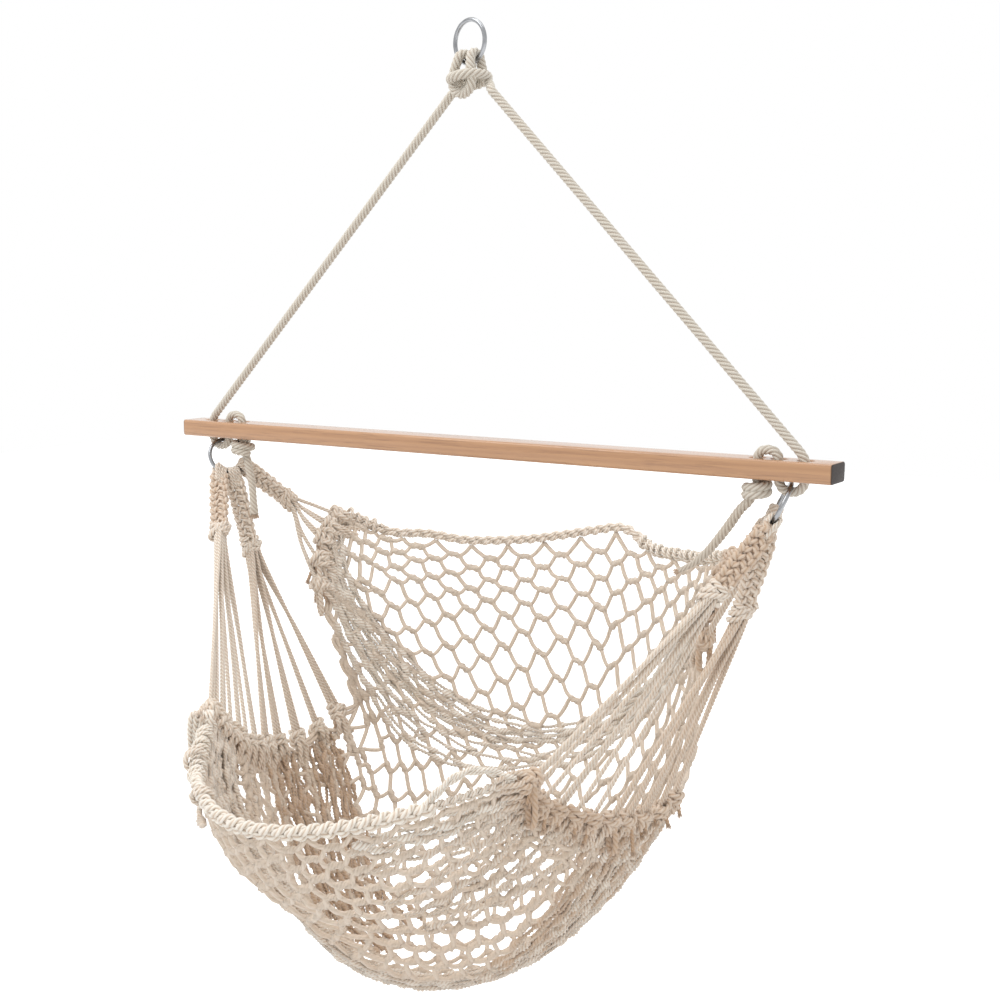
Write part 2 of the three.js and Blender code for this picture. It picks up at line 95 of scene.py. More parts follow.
# %% [markdown]
# ## Lines for rope
#
# A rope's line is given by a few points and smoothed by a Catmull-Rom curve, which passes through all of
# them. The points are then spaced evenly, because the turn of the strands has to be even along the rope.


# %% Smooth, evenly spaced lines
def clamped(value, low=0, high=1):
    return min(max(value, low), high)


def smooth_line(points, step):
    """Evenly spaced places on a smooth line through the points"""
    p = np.array([list(point) for point in points], float)
    p = p[np.concatenate([[True], np.linalg.norm(np.diff(p, axis=0), axis=1) > 1e-5])]
    p = np.vstack([2 * p[0] - p[1], p, 2 * p[-1] - p[-2]])
    knots = np.concatenate([[0], np.cumsum(np.sqrt(np.linalg.norm(np.diff(p, axis=0), axis=1)))])
    fine = []
    for i in range(1, len(p) - 2):
        a, b, c, d = knots[i - 1:i + 3]
        x = np.linspace(b, c, 20, endpoint=False)[:, None]
        ab = ((b - x) * p[i - 1] + (x - a) * p[i]) / (b - a)
        bc = ((c - x) * p[i] + (x - b) * p[i + 1]) / (c - b)
        cd = ((d - x) * p[i + 1] + (x - c) * p[i + 2]) / (d - c)
        abc = ((c - x) * ab + (x - a) * bc) / (c - a)
        bcd = ((d - x) * bc + (x - b) * cd) / (d - b)
        fine.append(((c - x) * abc + (x - b) * bcd) / (c - b))
    fine = np.vstack([*fine, p[-2:-1]])
    return even_line(fine, step)


def run_lengths(line):
    """How far along the line each of its points lies"""
    return np.concatenate([[0], np.cumsum(np.linalg.norm(np.diff(line, axis=0), axis=1))])


def rows_at(places, reach, rows):
    """Rows of three numbers, read at places between those they were given for"""
    return np.column_stack([np.interp(places, reach, rows[:, k]) for k in range(3)])


def even_line(line, step):
    """The same line with its points a step apart"""
    reach = run_lengths(line)
    count = max(3, round(reach[-1] / step) + 1)
    return rows_at(np.linspace(0, reach[-1], count), reach, line)


print("a test line is", round(run_lengths(smooth_line([(0, 0, 0), (1, 0, 0), (1, 1, 0)], 0.1))[-1], 3), "long")

# %% [markdown]
# ## One outline, many ropes
#
# A laid rope cut across is a few round strands pressed together. That outline, swept along a line while
# it turns, gives the real ridges of a rope with no texture at all; the material only paints shade into the
# grooves. Thin cords far from the eye get six sides and carry the ridges in their material, as bumps and
# painted groove shade, because the net has more than a thousand of them.


# %% Outlines and sweeps
def laid_outline(size, name, strands, per_strand=4):
    """Round strands that meet in grooves, with the rope's outer diameter"""
    strand = size / 2 * {3: 0.54, 5: 0.42}[strands]
    offset = size / 2 - strand
    count = strands * per_strand
    places = []
    for k in range(count):
        turn = -math.tau * k / count
        from_middle = (turn + math.pi / strands) % (math.tau / strands) - math.pi / strands
        side = offset * math.sin(from_middle)
        reach = offset * math.cos(from_middle) + math.sqrt(strand ** 2 - side ** 2)
        places.append((reach * math.cos(turn), reach * math.sin(turn)))
    return closed_outline(places, name)


def round_outline(size, count, name):
    turns = [-math.tau * k / count for k in range(count)]
    return closed_outline([(size / 2 * math.cos(turn), size / 2 * math.sin(turn)) for turn in turns], name)


def closed_outline(places, name):
    data = bpy.data.curves.new(name, "CURVE")
    data.dimensions = "2D"
    spline = data.splines.new("POLY")
    spline.points.add(len(places) - 1)
    for point, (x, y) in zip(spline.points, places):
        point.co = (x, y, 0, 1)
    spline.use_cyclic_u = True
    return placed(name, data)


def values_of(items, key, kind=np.int32, each=1):
    """A value of every face, corner or point of a mesh, as one array"""
    values = np.zeros(each * len(items), kind)
    items.foreach_get(key, values)
    return values


def sweep(lines, outline):
    """A mesh of the outline swept along lines. Each is points, turns, thicknesses and a share of tan colour, which is
    painted warm shade and real browning.
    """
    data = bpy.data.curves.new("sweep", "CURVE")
    data.dimensions = "3D"
    data.twist_mode = "MINIMUM"
    data.bevel_mode = "OBJECT"
    data.bevel_object = outline
    data.use_fill_caps = True
    lengths, shades_and_tans = [], []
    for k, (points, turns, widths, shade_and_tan) in enumerate(lines):
        spline = data.splines.new("POLY")
        spline.points.add(len(points) - 1)
        spline.points.foreach_set("co", np.column_stack([points, np.ones(len(points))]).ravel())
        spline.points.foreach_set("tilt", np.asarray(turns, float))
        spline.points.foreach_set("radius", np.asarray(widths, float))
        spline.material_index = k
        lengths.append(run_lengths(points)[-1])
        shades_and_tans.append(shade_and_tan)
    source = placed("sweep", data)
    mesh = made_mesh(source)
    bpy.data.objects.remove(source)
    bpy.data.curves.remove(data)
    order, sides = values_of(mesh.polygons, "material_index"), values_of(mesh.polygons, "loop_total")
    uv_data = mesh.uv_layers[0].data
    places = values_of(uv_data, "uv", float, 2)
    along, around = places[0::2] * np.repeat(np.array(lengths)[order], sides), places[1::2].copy()
    places[0::2], places[1::2] = around, along
    uv_data.foreach_set("uv", places)
    shade_and_tan_share = np.zeros(len(mesh.vertices))
    shade_and_tan_share[values_of(mesh.loops, "vertex_index")] = np.repeat(np.array(shades_and_tans)[order], sides)
    mesh.attributes.new("shade_and_tan", "FLOAT", "POINT").data.foreach_set("value", shade_and_tan_share)
    mesh.polygons.foreach_set("material_index", np.zeros(len(order), np.int32))
    return mesh


def laid(line, lay, start=0.0, width=1.0, shade_and_tan=0.0):
    """A line with the steady turn of a rope's strands"""
    return line, start - math.tau * run_lengths(line) / lay, np.ones(len(line)) * width, shade_and_tan


def piece_of(name, meshes, material, body, slot, *replaces):
    """Joins meshes into one piece that faces out, and ties it to its body"""
    shell = bmesh.new()
    for mesh in meshes:
        shell.from_mesh(mesh)
        bpy.data.meshes.remove(mesh)
    bmesh.ops.remove_doubles(shell, verts=shell.verts, dist=1e-6)
    bmesh.ops.recalc_face_normals(shell, faces=shell.faces)
    for face in shell.faces:
        face.smooth = True
    mesh = mesh_of(shell, name)
    mesh.materials.append(material)
    piece = placed(name, mesh)
    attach(piece, body)
    if replaces:
        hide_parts(*replaces)
    print(name, len(mesh.polygons), "faces")
    return piece


# %% [markdown]
# ## Cotton
#
# Undyed cotton is cream, and tan where the material paints shade into its grooves. The colour wanders a
# little along each cord, and the surface is matt with a soft sheen from its fibres. On the thick ropes the
# grooves are real, so the material only adds painted shade in them. On the thin cords it draws the strands
# as well, as bumps and painted groove shade that turn round the cord along its UV map. A tan attribute adds
# painted warm shade where cords bunch or turn from the lamps, and real browning at frayed ends.


# %% Cotton materials
def new_material(name):
    """A material with its node tree and its shader"""
    material = bpy.data.materials.new(name)
    material.use_nodes = True
    tree = material.node_tree
    return material, tree, tree.nodes["Principled BSDF"]


def feed(tree, made, values):
    """Sets a node's sockets to numbers and colours, or links other nodes' outputs to them"""
    for key, value in values.items():
        if isinstance(value, bpy.types.NodeSocket):
            tree.links.new(value, made.inputs[key])
        elif value is not None:
            made.inputs[key].default_value = value


def node(tree, kind, values=None, **settings):
    made = tree.nodes.new(kind)
    for key, value in settings.items():
        setattr(made, key, value)
    feed(tree, made, values or {})
    return made


def maths(tree, operation, a, b=None, c=None):
    return node(tree, "ShaderNodeMath", {0: a, 1: b, 2: c}, operation=operation).outputs[0]


def blend_colours(tree, share, a, b):
    return node(tree, "ShaderNodeMix", {0: share, 6: a, 7: b}, data_type="RGBA").outputs[2]


def cloudy(tree, place, scale, detail, roughness=0.5, distortion=0.0):
    """The strength of a noise texture at a place"""
    return node(tree, "ShaderNodeTexNoise", {"Vector": place, "Scale": scale, "Detail": detail,
                                             "Roughness": roughness, "Distortion": distortion}).outputs[0]


def bumped(tree, height, strength, distance):
    """The normal of a surface with small heights on it"""
    return node(tree, "ShaderNodeBump", {"Height": height, "Strength": strength, "Distance": distance}).outputs[0]


# The tan colour stands for two things: painted warm shade where cords bunch or turn from the lamps, and real browning
# at frayed ends.
shade_and_tan_colour = (0.54, 0.365, 0.235, 1)


def cotton_material(name, strands, lay=None, light=(0.955, 0.92, 0.86, 1), shade_and_fleck=(0.46, 0.28, 0.15, 1)):
    """Cotton cord. Where a lay is given, the strands are drawn by the material, a turn every lay. The grooves between
    strands are darkened as painted shade, and the fibre flecks are random tone.
    """
    material, tree, shader = new_material(name)
    place = node(tree, "ShaderNodeUVMap", uv_map="UVMap")
    split = node(tree, "ShaderNodeSeparateXYZ", {0: place.outputs[0]})
    turned = maths(tree, "MULTIPLY_ADD", split.outputs[1], 1 / lay if lay else 0.0, split.outputs[0])
    strand = maths(tree, "FRACT", maths(tree, "MULTIPLY", turned, float(strands)))
    across = maths(tree, "SUBTRACT", maths(tree, "MULTIPLY", strand, 2.0), 1.0)
    if not lay:
        across = maths(tree, "SUBTRACT", 1.0, maths(tree, "ABSOLUTE", across))
    hollow = maths(tree, "SUBTRACT", 1.0, maths(tree, "MULTIPLY", across, across))
    crown = maths(tree, "SQRT", maths(tree, "MAXIMUM", hollow, 0.0))
    spot = node(tree, "ShaderNodeTexCoord").outputs["Object"]
    wander, fibre = cloudy(tree, spot, 22.0, 3.0, 0.6), cloudy(tree, spot, 700.0, 3.0, 0.7)
    warm = (light[0] * 0.96, light[1] * 0.93, light[2] * 0.87, 1)
    colour = blend_colours(tree, wander, light, warm)
    # The tan attribute mixes in painted warm shade and real browning at frayed ends.
    shade_and_tan_share = node(tree, "ShaderNodeAttribute", attribute_name="shade_and_tan")
    colour = blend_colours(tree, shade_and_tan_share.outputs["Fac"], colour, shade_and_tan_colour)
    # Painted shade: the grooves between the strands are darkened, on the ropes' real grooves and on the net's drawn
    # ones.
    painted_groove_shade = maths(tree, "MULTIPLY", maths(tree, "SUBTRACT", 1.0, crown), 0.9)
    colour = blend_colours(tree, painted_groove_shade, colour, shade_and_fleck)
    fleck = maths(tree, "MULTIPLY", maths(tree, "SUBTRACT", fibre, 0.45), 0.3)
    colour = blend_colours(tree, fleck, colour, shade_and_fleck)
    height = maths(tree, "MULTIPLY_ADD", crown, 1.0 if lay else 0.0, maths(tree, "MULTIPLY", fibre, 0.3))
    feed(tree, shader, {"Base Color": colour, "Roughness": 0.88, "Sheen Weight": 0.25, "Sheen Roughness": 0.5,
                        "Normal": bumped(tree, height, 0.7, 0.001 if lay else 0.0006)})
    return material


rope_size, rope_lay = 0.0125, 0.036
cord_size, cord_lay = 0.006, 0.0156
rope_step, cord_step = rope_lay / 24, 0.0015
rope_cotton = cotton_material("rope_cotton", 5, light=(0.68, 0.645, 0.58, 1), shade_and_fleck=(0.34, 0.24, 0.165, 1))
cord_cotton = cotton_material("cord_cotton", 3)
# The net's cotton is paler than the cord's: painted light that lifts the net out of its own shade.
net_cotton = cotton_material("net_cotton", 3, cord_lay, (0.98, 0.96, 0.91, 1), (0.68, 0.57, 0.44, 1))
rope_outline = laid_outline(rope_size, "rope_outline", 5)
cord_outline = laid_outline(cord_size, "cord_outline", 3)
sheet_outline = laid_outline(cord_size * 1.1, "sheet_outline", 3, 2)
knot_outline = laid_outline(cord_size, "knot_outline", 3, 3)
net_outline = round_outline(cord_size * 1.1, 6, "net_outline")
fibre_outline = round_outline(0.0008, 3, "fibre_outline")

# %% [markdown]
# ## The free tails of rope
#
# Under each end of the bar the rope ends in a stopper, and a short tail hangs free below it. They are
# the only free cords of the chair, so they are made first, at their real length.


# %% Tails and frayed ends
bar_z = -0.573
golden_angle = 2.399


def frayed_end(place, direction, size, length, count):
    """Loose fibres that spread from a cut end"""
    lines = []
    run = Vector(direction).normalized()
    side = run.orthogonal().normalized()
    for k in range(count):
        out = Matrix.Rotation(golden_angle * k, 3, run) @ side
        reach = math.sqrt((k + 0.5) / count) * size / 2
        start = Vector(place) + out * reach * 0.75
        spread = vary(0.25, 0.7) * reach / (size / 2)
        tip = start + (run + out * spread).normalized() * length * vary(0.7, 1.0)
        middle = start.lerp(tip, 0.5) + run * length * 0.08
        places = np.array([start - run * size * 0.3, middle, tip])
        lines.append((places, np.zeros(3), np.array([1.6, 1.3, 0.7]), 0.75))
    return lines


tail_routes = {
    "left": [(-424, -1, -35), (-420, -1, -45), (-416, -3, -56), (-406, -7, -84), (-400, -11, -112), (-398, -12, -129)],
    "right": [(424, -1, -34), (418, 0, -44), (408, 1, -54), (388, 2, -82), (362, 3, -114), (343, 4, -131),
              (322, 5, -143)],
}
tail_widths = {"left": [1, 1, 1, 0.95, 0.92, 1.15], "right": [1, 1, 1.05, 1, 0.9, 0.72, 0.55]}
for side, route in tail_routes.items():
    points = [(x / 1000, y / 1000, bar_z + z / 1000) for x, y, z in route]
    line = smooth_line(points, rope_step)
    spacing = smooth_line(points, 0.004)
    widths = np.interp(np.linspace(0, len(route) - 1, len(line)), range(len(route)), tail_widths[side])
    tail = piece_of(f"tail_rope_{side}", [sweep([laid(line, rope_lay, 0, widths, 0.1)], rope_outline)], rope_cotton,
                    "bar_and_rope", "natural_cotton_rope", f"rope_tail_{side}")
    tip = line[-1] - line[-2]
    fibres = frayed_end(line[-1], tip, rope_size * widths[-1] * 0.9, 0.008, 60)
    tuft = piece_of(f"tail_tuft_{side}", [sweep(fibres, fibre_outline)], cord_cotton, "bar_and_rope",
                    "natural_cotton_rope")
    length = run_lengths(spacing)[-1]
    print(side, "tail is", round(length, 3), "m long")

# %% [markdown]
# ## The hanging rope
#
# One rope makes the whole triangle. Its middle is hitched on the ring, its legs run straight down to the
# bar, and each end is laced through three holes and stopped by a wrap of its own. It is one sweep from
# one stopper to the other, so the strands run on unbroken through every bend. A short wrap of its own
# binds the hitch, and its two ends are tucked inside.

# %% Rope route
touch = 0.0003
bar_length, bar_depth, bar_height = 1.067, 0.046, 0.025
bar_top, bar_under = bar_z + bar_height / 2, bar_z - bar_height / 2
hole_x = [0.492, 0.457, 0.429]
hole_size, hole_mouth, mouth_depth = 0.0143, 0.023, 0.0045
ring_size, ring_wire = 0.063, 0.006
ring_radius = (ring_size - ring_wire) / 2
wire_low = -(ring_size - 1.5 * ring_wire)
ring_yaw = math.radians(-12)
bight_drop, loop_rise = 0.015, 0.0105
hitch_legs = [(4, 0.1, -3.8), (2.6, 0.5, -2.5), (1.5, 1.05, -1.75), (0.9, 1.15, -0.95)]
hitch_lobes = [(1.25, -1.15, -0.8), (1.5, -1.2, -1.8), (1.2, -1.15, -2.75)]
hitch_slack = 0.0021
hitch_join = (0, -1.05, -3.3)
stopper_from, stopper_turns, stopper_steps = 0.35, 1.7, 18


def hitch_point(side, x, y, z):
    """A place at the hitch, in rope sizes from the lowest point of the hanging ring's wire"""
    point = Vector((side * x, y, z)) * rope_size
    return Matrix.Rotation(ring_yaw, 3, "Z") @ point + Vector((0, 0, wire_low))


def leg_foot(side):
    return Vector((side * (hole_x[0] - rope_size * 1.15), 0, bar_top + rope_size * 1.35))


def leg_run(side):
    return (leg_foot(side) - hitch_point(side, *hitch_legs[0])).normalized()


def hitch_half(side):
    """The rope from a leg's top, over the wire, to the turn below it"""
    reach = (ring_wire / 2 + hitch_slack + rope_size / 2) / rope_size
    arch = []
    for step, x in enumerate([0.76, 0.79, 0.84, 0.92, 1.02]):
        turn = math.pi * step / 4
        rise = (ring_radius - math.sqrt(ring_radius ** 2 - (x * rope_size) ** 2)) / rope_size
        arch.append(hitch_point(side, x, reach * math.cos(turn), rise + reach * math.sin(turn)))
    top = hitch_point(side, *hitch_legs[0])
    legs = [top, top - leg_run(side) * rope_size] + [hitch_point(side, *share) for share in hitch_legs[1:]]
    return legs + arch + [hitch_point(side, *share) for share in hitch_lobes]


def lacing(side):
    """The rope from a leg's foot, through the bar three times, to its stopper"""
    one, two, three = hole_x
    turns = [(0.1, 0.35), (0.45, 0.84)]
    bight = [(x * (one - two) / 2, bar_under - z * bight_drop) for x, z in turns]
    loop = [(x * (two - three) / 2, bar_top + z * loop_rise) for x, z in turns]
    route = [(one - rope_size * 0.2, bar_top + rope_size * 0.2), (one, bar_top - mouth_depth)]
    route += [(one, bar_under + mouth_depth)] + [(one - x, z) for x, z in bight]
    route += [((one + two) / 2, bar_under - bight_drop)] + [(two + x, z) for x, z in bight[::-1]]
    route += [(two, bar_under + mouth_depth), (two, bar_top - mouth_depth)] + [(two - x, z) for x, z in loop]
    route += [((two + three) / 2, bar_top + loop_rise)] + [(three + x, z) for x, z in loop[::-1]]
    route += [(three, bar_top - mouth_depth), (three, bar_under), (three, bar_under - rope_size * 1.25)]
    route += [(three - rope_size * 0.4, bar_under - rope_size * 1.8)]
    points = [Vector((side * x, 0, z)) for x, z in route]
    wrap = rope_size + 2 * touch
    lowest, highest = bar_under - rope_size * 1.75, bar_under - rope_size / 2 - touch
    for k in range(stopper_steps + 1):
        turn = math.pi + stopper_from + math.tau * stopper_turns * k / stopper_steps
        z = lowest + (highest - lowest) * k / stopper_steps
        points.append(Vector((side * (three + wrap * math.cos(turn)), wrap * math.sin(turn), z)))
    return points


def rope_side(side):
    """Half of the rope, from its stopper up to the hitch"""
    foot = leg_foot(side)
    bend = foot + leg_run(side) * rope_size * 0.6
    down = [foot - leg_run(side) * rope_size * 2, foot, bend, *lacing(side)]
    return down[::-1] + hitch_half(side)


# %% Rope
rope_points = rope_side(-1) + [hitch_point(1, *hitch_join)] + rope_side(1)[::-1]
rope_line = smooth_line(rope_points, rope_step)
from_middle = np.abs(run_lengths(rope_line) - run_lengths(rope_line)[-1] / 2)
hitch_swell, hitch_run, hitch_fade = 0.08, 0.115, 0.02
rope_widths = 1 + hitch_swell * np.clip((hitch_run - from_middle) / hitch_fade, 0, 1)
piece_of("hanging_rope", [sweep([laid(rope_line, rope_lay, 0, rope_widths)], rope_outline)], rope_cotton,
         "bar_and_rope", "natural_cotton_rope", "ring_hitch", "rope_leg_left", "rope_leg_right",
         "rope_lacing_left", "rope_lacing_right")

wrap_steps, wrap_from, wrap_turn, wrap_width = 24, 100, 17.5, 1.12
wrap_inside, wrap_out, wrap_top, wrap_fall, wrap_lean = 1.1, 0.3, -1.2, 0.03, 0.35
wrap_points = []
for k in range(wrap_steps + 1):
    turn = math.radians(wrap_from + wrap_turn * k)
    reach = wrap_inside + wrap_out * min(k, wrap_steps - k, 3)
    wrap_points.append(hitch_point(1, reach * math.cos(turn), reach * math.sin(turn) - 0.1,
                                   wrap_top - wrap_fall * k + wrap_lean * math.cos(turn)))
wrap = laid(smooth_line(wrap_points, rope_step), rope_lay, 1, wrap_width)
piece_of("hitch_wrap", [sweep([wrap], rope_outline)], rope_cotton, "bar_and_rope", "natural_cotton_rope")
print("the rope is", round(run_lengths(rope_line)[-1], 3), "m long")

# %% [markdown]
# ## Steel rings
#
# A welded ring is a bent wire. A circle is spun about the ring's middle, and the wire swells a little
# where it was welded shut.


# %% Rings
def zinc_material():
    """Bright zinc, a little clouded and finely scratched"""
    material, tree, shader = new_material("bright_zinc")
    spot = node(tree, "ShaderNodeTexCoord").outputs["Object"]
    cloud, scratch = cloudy(tree, spot, 90.0, 4.0, 0.6), cloudy(tree, spot, 900.0, 2.0)
    colour = blend_colours(tree, cloud, (0.17, 0.175, 0.18, 1), (0.50, 0.51, 0.53, 1))
    feed(tree, shader, {"Metallic": 1.0, "Base Color": colour,
                        "Roughness": maths(tree, "MULTIPLY_ADD", scratch, 0.2, 0.15),
                        "Normal": bumped(tree, scratch, 0.25, 0.0002)})
    return material


zinc = zinc_material()
weld_swell, weld_run = 0.09, 0.0022


def steel_ring(name, place, weld_turn, body, replaced):
    """A ring in the local XY plane, moved into place"""
    ring = bmesh.new()
    circle = bmesh.ops.create_circle(ring, segments=16, radius=ring_wire / 2)["verts"]
    bmesh.ops.rotate(ring, verts=circle, matrix=Matrix.Rotation(math.pi / 2, 3, "X"))
    bmesh.ops.translate(ring, verts=circle, vec=(ring_radius, 0, 0))
    bmesh.ops.spin(ring, geom=list(ring.verts) + list(ring.edges), cent=(0, 0, 0), axis=(0, 0, 1),
                   angle=math.tau, steps=80, use_merge=True)
    bmesh.ops.remove_doubles(ring, verts=ring.verts, dist=1e-6)
    for vert in ring.verts:
        turn = math.atan2(vert.co.y, vert.co.x)
        off = abs((turn - weld_turn + math.pi) % math.tau - math.pi) * ring_radius
        middle = Vector((math.cos(turn), math.sin(turn), 0)) * ring_radius
        vert.co = middle + (vert.co - middle) * (1 + weld_swell * math.exp(-(off / weld_run) ** 2))
    bmesh.ops.transform(ring, matrix=place, verts=ring.verts)
    piece_of(name, [mesh_of(ring, name)], zinc, body, "zinc_steel", replaced)


def side_ring_place(side):
    """The side ring's middle, the way it hangs down and the way it opens to the back"""
    down = Vector((-0.447 * side, -0.04, -0.894)).normalized()
    back = Vector((-0.35 * side, 0.937, 0.1))
    back = (back - down * back.dot(down)).normalized()
    gap = bight_drop - rope_size / 2 - 0.8 * touch - ring_wire / 2
    middle = Vector((side * (hole_x[0] + hole_x[1]) / 2, 0, bar_under - gap)) + down * ring_radius
    return down, back, middle


top_place = Matrix.Translation((0, 0, ring_wire - ring_size / 2)) @ Matrix.Rotation(ring_yaw, 4, "Z") \
    @ Matrix.Rotation(math.pi / 2, 4, "X")
steel_ring("hanging_ring_steel", top_place, 2.2, "hanging_ring", "hanging_ring")
for name, side in both_sides:
    down, back, middle = side_ring_place(side)
    turn = Matrix((down, back, down.cross(back))).transposed().to_4x4()
    steel_ring(f"side_ring_steel_{name}", Matrix.Translation(middle) @ turn, 1.4, "sling", f"side_ring_{name}")

# %% [markdown]
# ## The oak bar
#
# The bar is one planed slat with its edges eased. A cube is stretched, its long edges and then the rims
# of its ends are rounded, and a Boolean takes the six holes out, each with a flared mouth at both faces.


# %% Oak
def oak_material():
    """Oiled oak, with grain and pores along the bar, and end grain that is darker as oiled end grain is and made far
    darker still as painted shade
    """
    material, tree, shader = new_material("oiled_oak")
    spot = node(tree, "ShaderNodeTexCoord").outputs["Object"]
    stretched = node(tree, "ShaderNodeMapping", {"Vector": spot, "Scale": (1.6, 30, 30)}).outputs[0]
    fine = node(tree, "ShaderNodeMapping", {"Vector": spot, "Scale": (14, 420, 420)}).outputs[0]
    broad, pores = cloudy(tree, stretched, 2.2, 5.0, 0.62, 0.35), cloudy(tree, fine, 1.0, 3.0, 0.75)
    rings = node(tree, "ShaderNodeTexWave", {"Vector": stretched, "Scale": 1.3, "Distortion": 5.0, "Detail": 3.0,
                                             "Detail Scale": 1.2}, bands_direction="Z")
    colour = blend_colours(tree, broad, (0.55, 0.305, 0.152, 1), (0.42, 0.215, 0.102, 1))
    band = maths(tree, "MULTIPLY", rings.outputs[1], 0.35)
    colour = blend_colours(tree, band, colour, (0.35, 0.17, 0.078, 1))
    pore = node(tree, "ShaderNodeMapRange", {"Value": pores, "From Min": 0.52, "From Max": 0.68, "To Max": 0.7})
    colour = blend_colours(tree, pore.outputs[0], colour, (0.30, 0.15, 0.075, 1))
    along = maths(tree, "ABSOLUTE", node(tree, "ShaderNodeSeparateXYZ", {0: spot}).outputs[0])
    end = node(tree, "ShaderNodeMapRange", {"Value": along, "From Min": bar_length / 2 - 0.0022,
                                            "From Max": bar_length / 2 - 0.0004}).outputs[0]
    # The end faces are near black: darker end grain, with painted shade on top of it.
    end_grain = cloudy(tree, spot, 260.0, 4.0)
    end_grain_and_shade_colour = blend_colours(tree, end_grain, (0.008, 0.004, 0.003, 1), (0.030, 0.015, 0.010, 1))
    colour = blend_colours(tree, end, colour, end_grain_and_shade_colour)
    feed(tree, shader, {"Base Color": colour, "Coat Roughness": 0.08,
                        "Coat Weight": maths(tree, "MULTIPLY_ADD", end, -0.8, 0.8),
                        "Roughness": maths(tree, "MULTIPLY_ADD", pores, 0.25, 0.42),
                        "Normal": bumped(tree, pores, 0.35, 0.0004)})
    return material


edge_round, end_round, mouth_over = 0.004, 0.0016, 0.001


def cutter(shape, middle, low, high, depth):
    """Adds an upright cone, with a radius at its low end and one at its high end"""
    made = bmesh.ops.create_cone(shape, segments=28, radius1=low, radius2=high, depth=depth, cap_ends=True)["verts"]
    bmesh.ops.translate(shape, verts=made, vec=middle)


def oak_bar():
    """The mesh of the bar, eased and bored"""
    slat = bmesh.new()
    bmesh.ops.create_cube(slat, size=1)
    bmesh.ops.scale(slat, verts=slat.verts, vec=(bar_length, bar_depth, bar_height))
    long_edges = [e for e in slat.edges if abs(e.verts[0].co.x - e.verts[1].co.x) > bar_length / 2]
    bmesh.ops.bevel(slat, geom=long_edges, offset=edge_round, segments=5, profile=0.5, affect="EDGES", material=-1)
    end_edges = [e for e in slat.edges if abs(e.verts[0].co.x - e.verts[1].co.x) < bar_length / 2]
    bmesh.ops.bevel(slat, geom=end_edges, offset=end_round, segments=3, profile=0.5, affect="EDGES", material=-1)
    bmesh.ops.translate(slat, verts=slat.verts, vec=(0, 0, bar_z))
    holes = bmesh.new()
    slope = (hole_mouth - hole_size) / 2 / mouth_depth
    wide, tight = hole_mouth / 2 + slope * mouth_over, hole_size / 2 - slope * mouth_over
    off = (bar_height - mouth_depth) / 2
    for x in [side * x for side in (-1, 1) for x in hole_x]:
        cutter(holes, (x, 0, bar_z), hole_size / 2, hole_size / 2, 2 * bar_height)
        cutter(holes, (x, 0, bar_z - off), wide, tight, mouth_depth + 2 * mouth_over)
        cutter(holes, (x, 0, bar_z + off), tight, wide, mouth_depth + 2 * mouth_over)
    blank, drill = placed("blank", mesh_of(slat, "oak_bar")), placed("drill", mesh_of(holes, "drill"))
    bore = blank.modifiers.new("bore", "BOOLEAN")
    bore.operation = "DIFFERENCE"
    bore.solver = "EXACT"
    bore.use_self = True
    bore.object = drill
    bored = made_mesh(blank)
    bpy.data.objects.remove(drill)
    bpy.data.objects.remove(blank)
    return bored


bar = piece_of("oak_bar", [oak_bar()], oak_material(), "bar_and_rope", "oiled_oak", "spreader_bar")
bar.data.set_sharp_from_angle(angle=math.radians(35))

# %% [markdown]
# ## The sling's form
#
# The net, its edge ropes and its gather knots all lie on one surface. Eleven stations from the top of
# the back to the front of the seat say where its middle and its sides hang. They are the same numbers
# as in the solid model, so every soft piece stays where its solid is.

# %% Sling surface
sling_half_width, sling_reach, sling_drop = 0.340, 0.469, 0.731
sling_shares = [
    (0.544, -0.245, 1.000, 0.277, -0.200, 2.4), (0.550, -0.397, 0.994, 0.181, -0.243, 2.4),
    (0.511, -0.568, 0.971, 0.141, -0.342, 2.4), (0.415, -0.734, 0.929, 0.170, -0.465, 2.4),
    (0.245, -0.884, 0.888, 0.209, -0.588, 2.6), (0.008, -0.971, 0.894, 0.043, -0.643, 2.7),
    (-0.231, -0.999, 0.871, -0.170, -0.637, 2.6), (-0.461, -0.955, 0.818, -0.320, -0.610, 2.2),
    (-0.677, -0.822, 0.759, -0.437, -0.575, 1.9), (-0.902, -0.681, 0.726, -0.537, -0.528, 2.2),
    (-1.000, -0.566, 0.753, -0.567, -0.493, 2.0),
]
top_edge_shares = [(0,), (-0.03,), (-0.024,), (-0.027,), (-0.018,), (-0.006,), (0.01,), (0.027,), (0.037,),
                   (0,), (-0.009,), (-0.011,), (0,)]
top_edge_fade = 0.25


def along_table(table, share):
    """A smooth row of numbers at a share of the way down a table"""
    last = len(table) - 1
    at = clamped(share) * last
    i = min(int(at), last - 1)
    f = at - i
    p1, p2 = np.array(table[i]), np.array(table[i + 1])
    p0 = np.array(table[i - 1]) if i > 0 else 2 * p1 - p2
    p3 = np.array(table[i + 2]) if i + 2 <= last else 2 * p2 - p1
    bend, twist = 2 * p0 - 5 * p1 + 4 * p2 - p3, 3 * p1 - p0 - 3 * p2 + p3
    return (2 * p1 + (p2 - p0) * f + bend * f * f + twist * f ** 3) / 2


def sling_point(across, down):
    """Across runs from -1 at the left to 1, down from 0 at the top of the back to 1 at the front"""
    middle_y, middle_z, side_x, side_y, side_z, fullness = along_table(sling_shares, down)
    near = abs(across) ** fullness
    lift = along_table(top_edge_shares, (across + 1) / 2)[0] * max(0, 1 - down / top_edge_fade) ** 2
    return Vector((sling_half_width * side_x * across,
                   sling_reach * (middle_y + (side_y - middle_y) * near),
                   bar_z + sling_drop * (middle_z + (side_z - middle_z) * near + lift)))


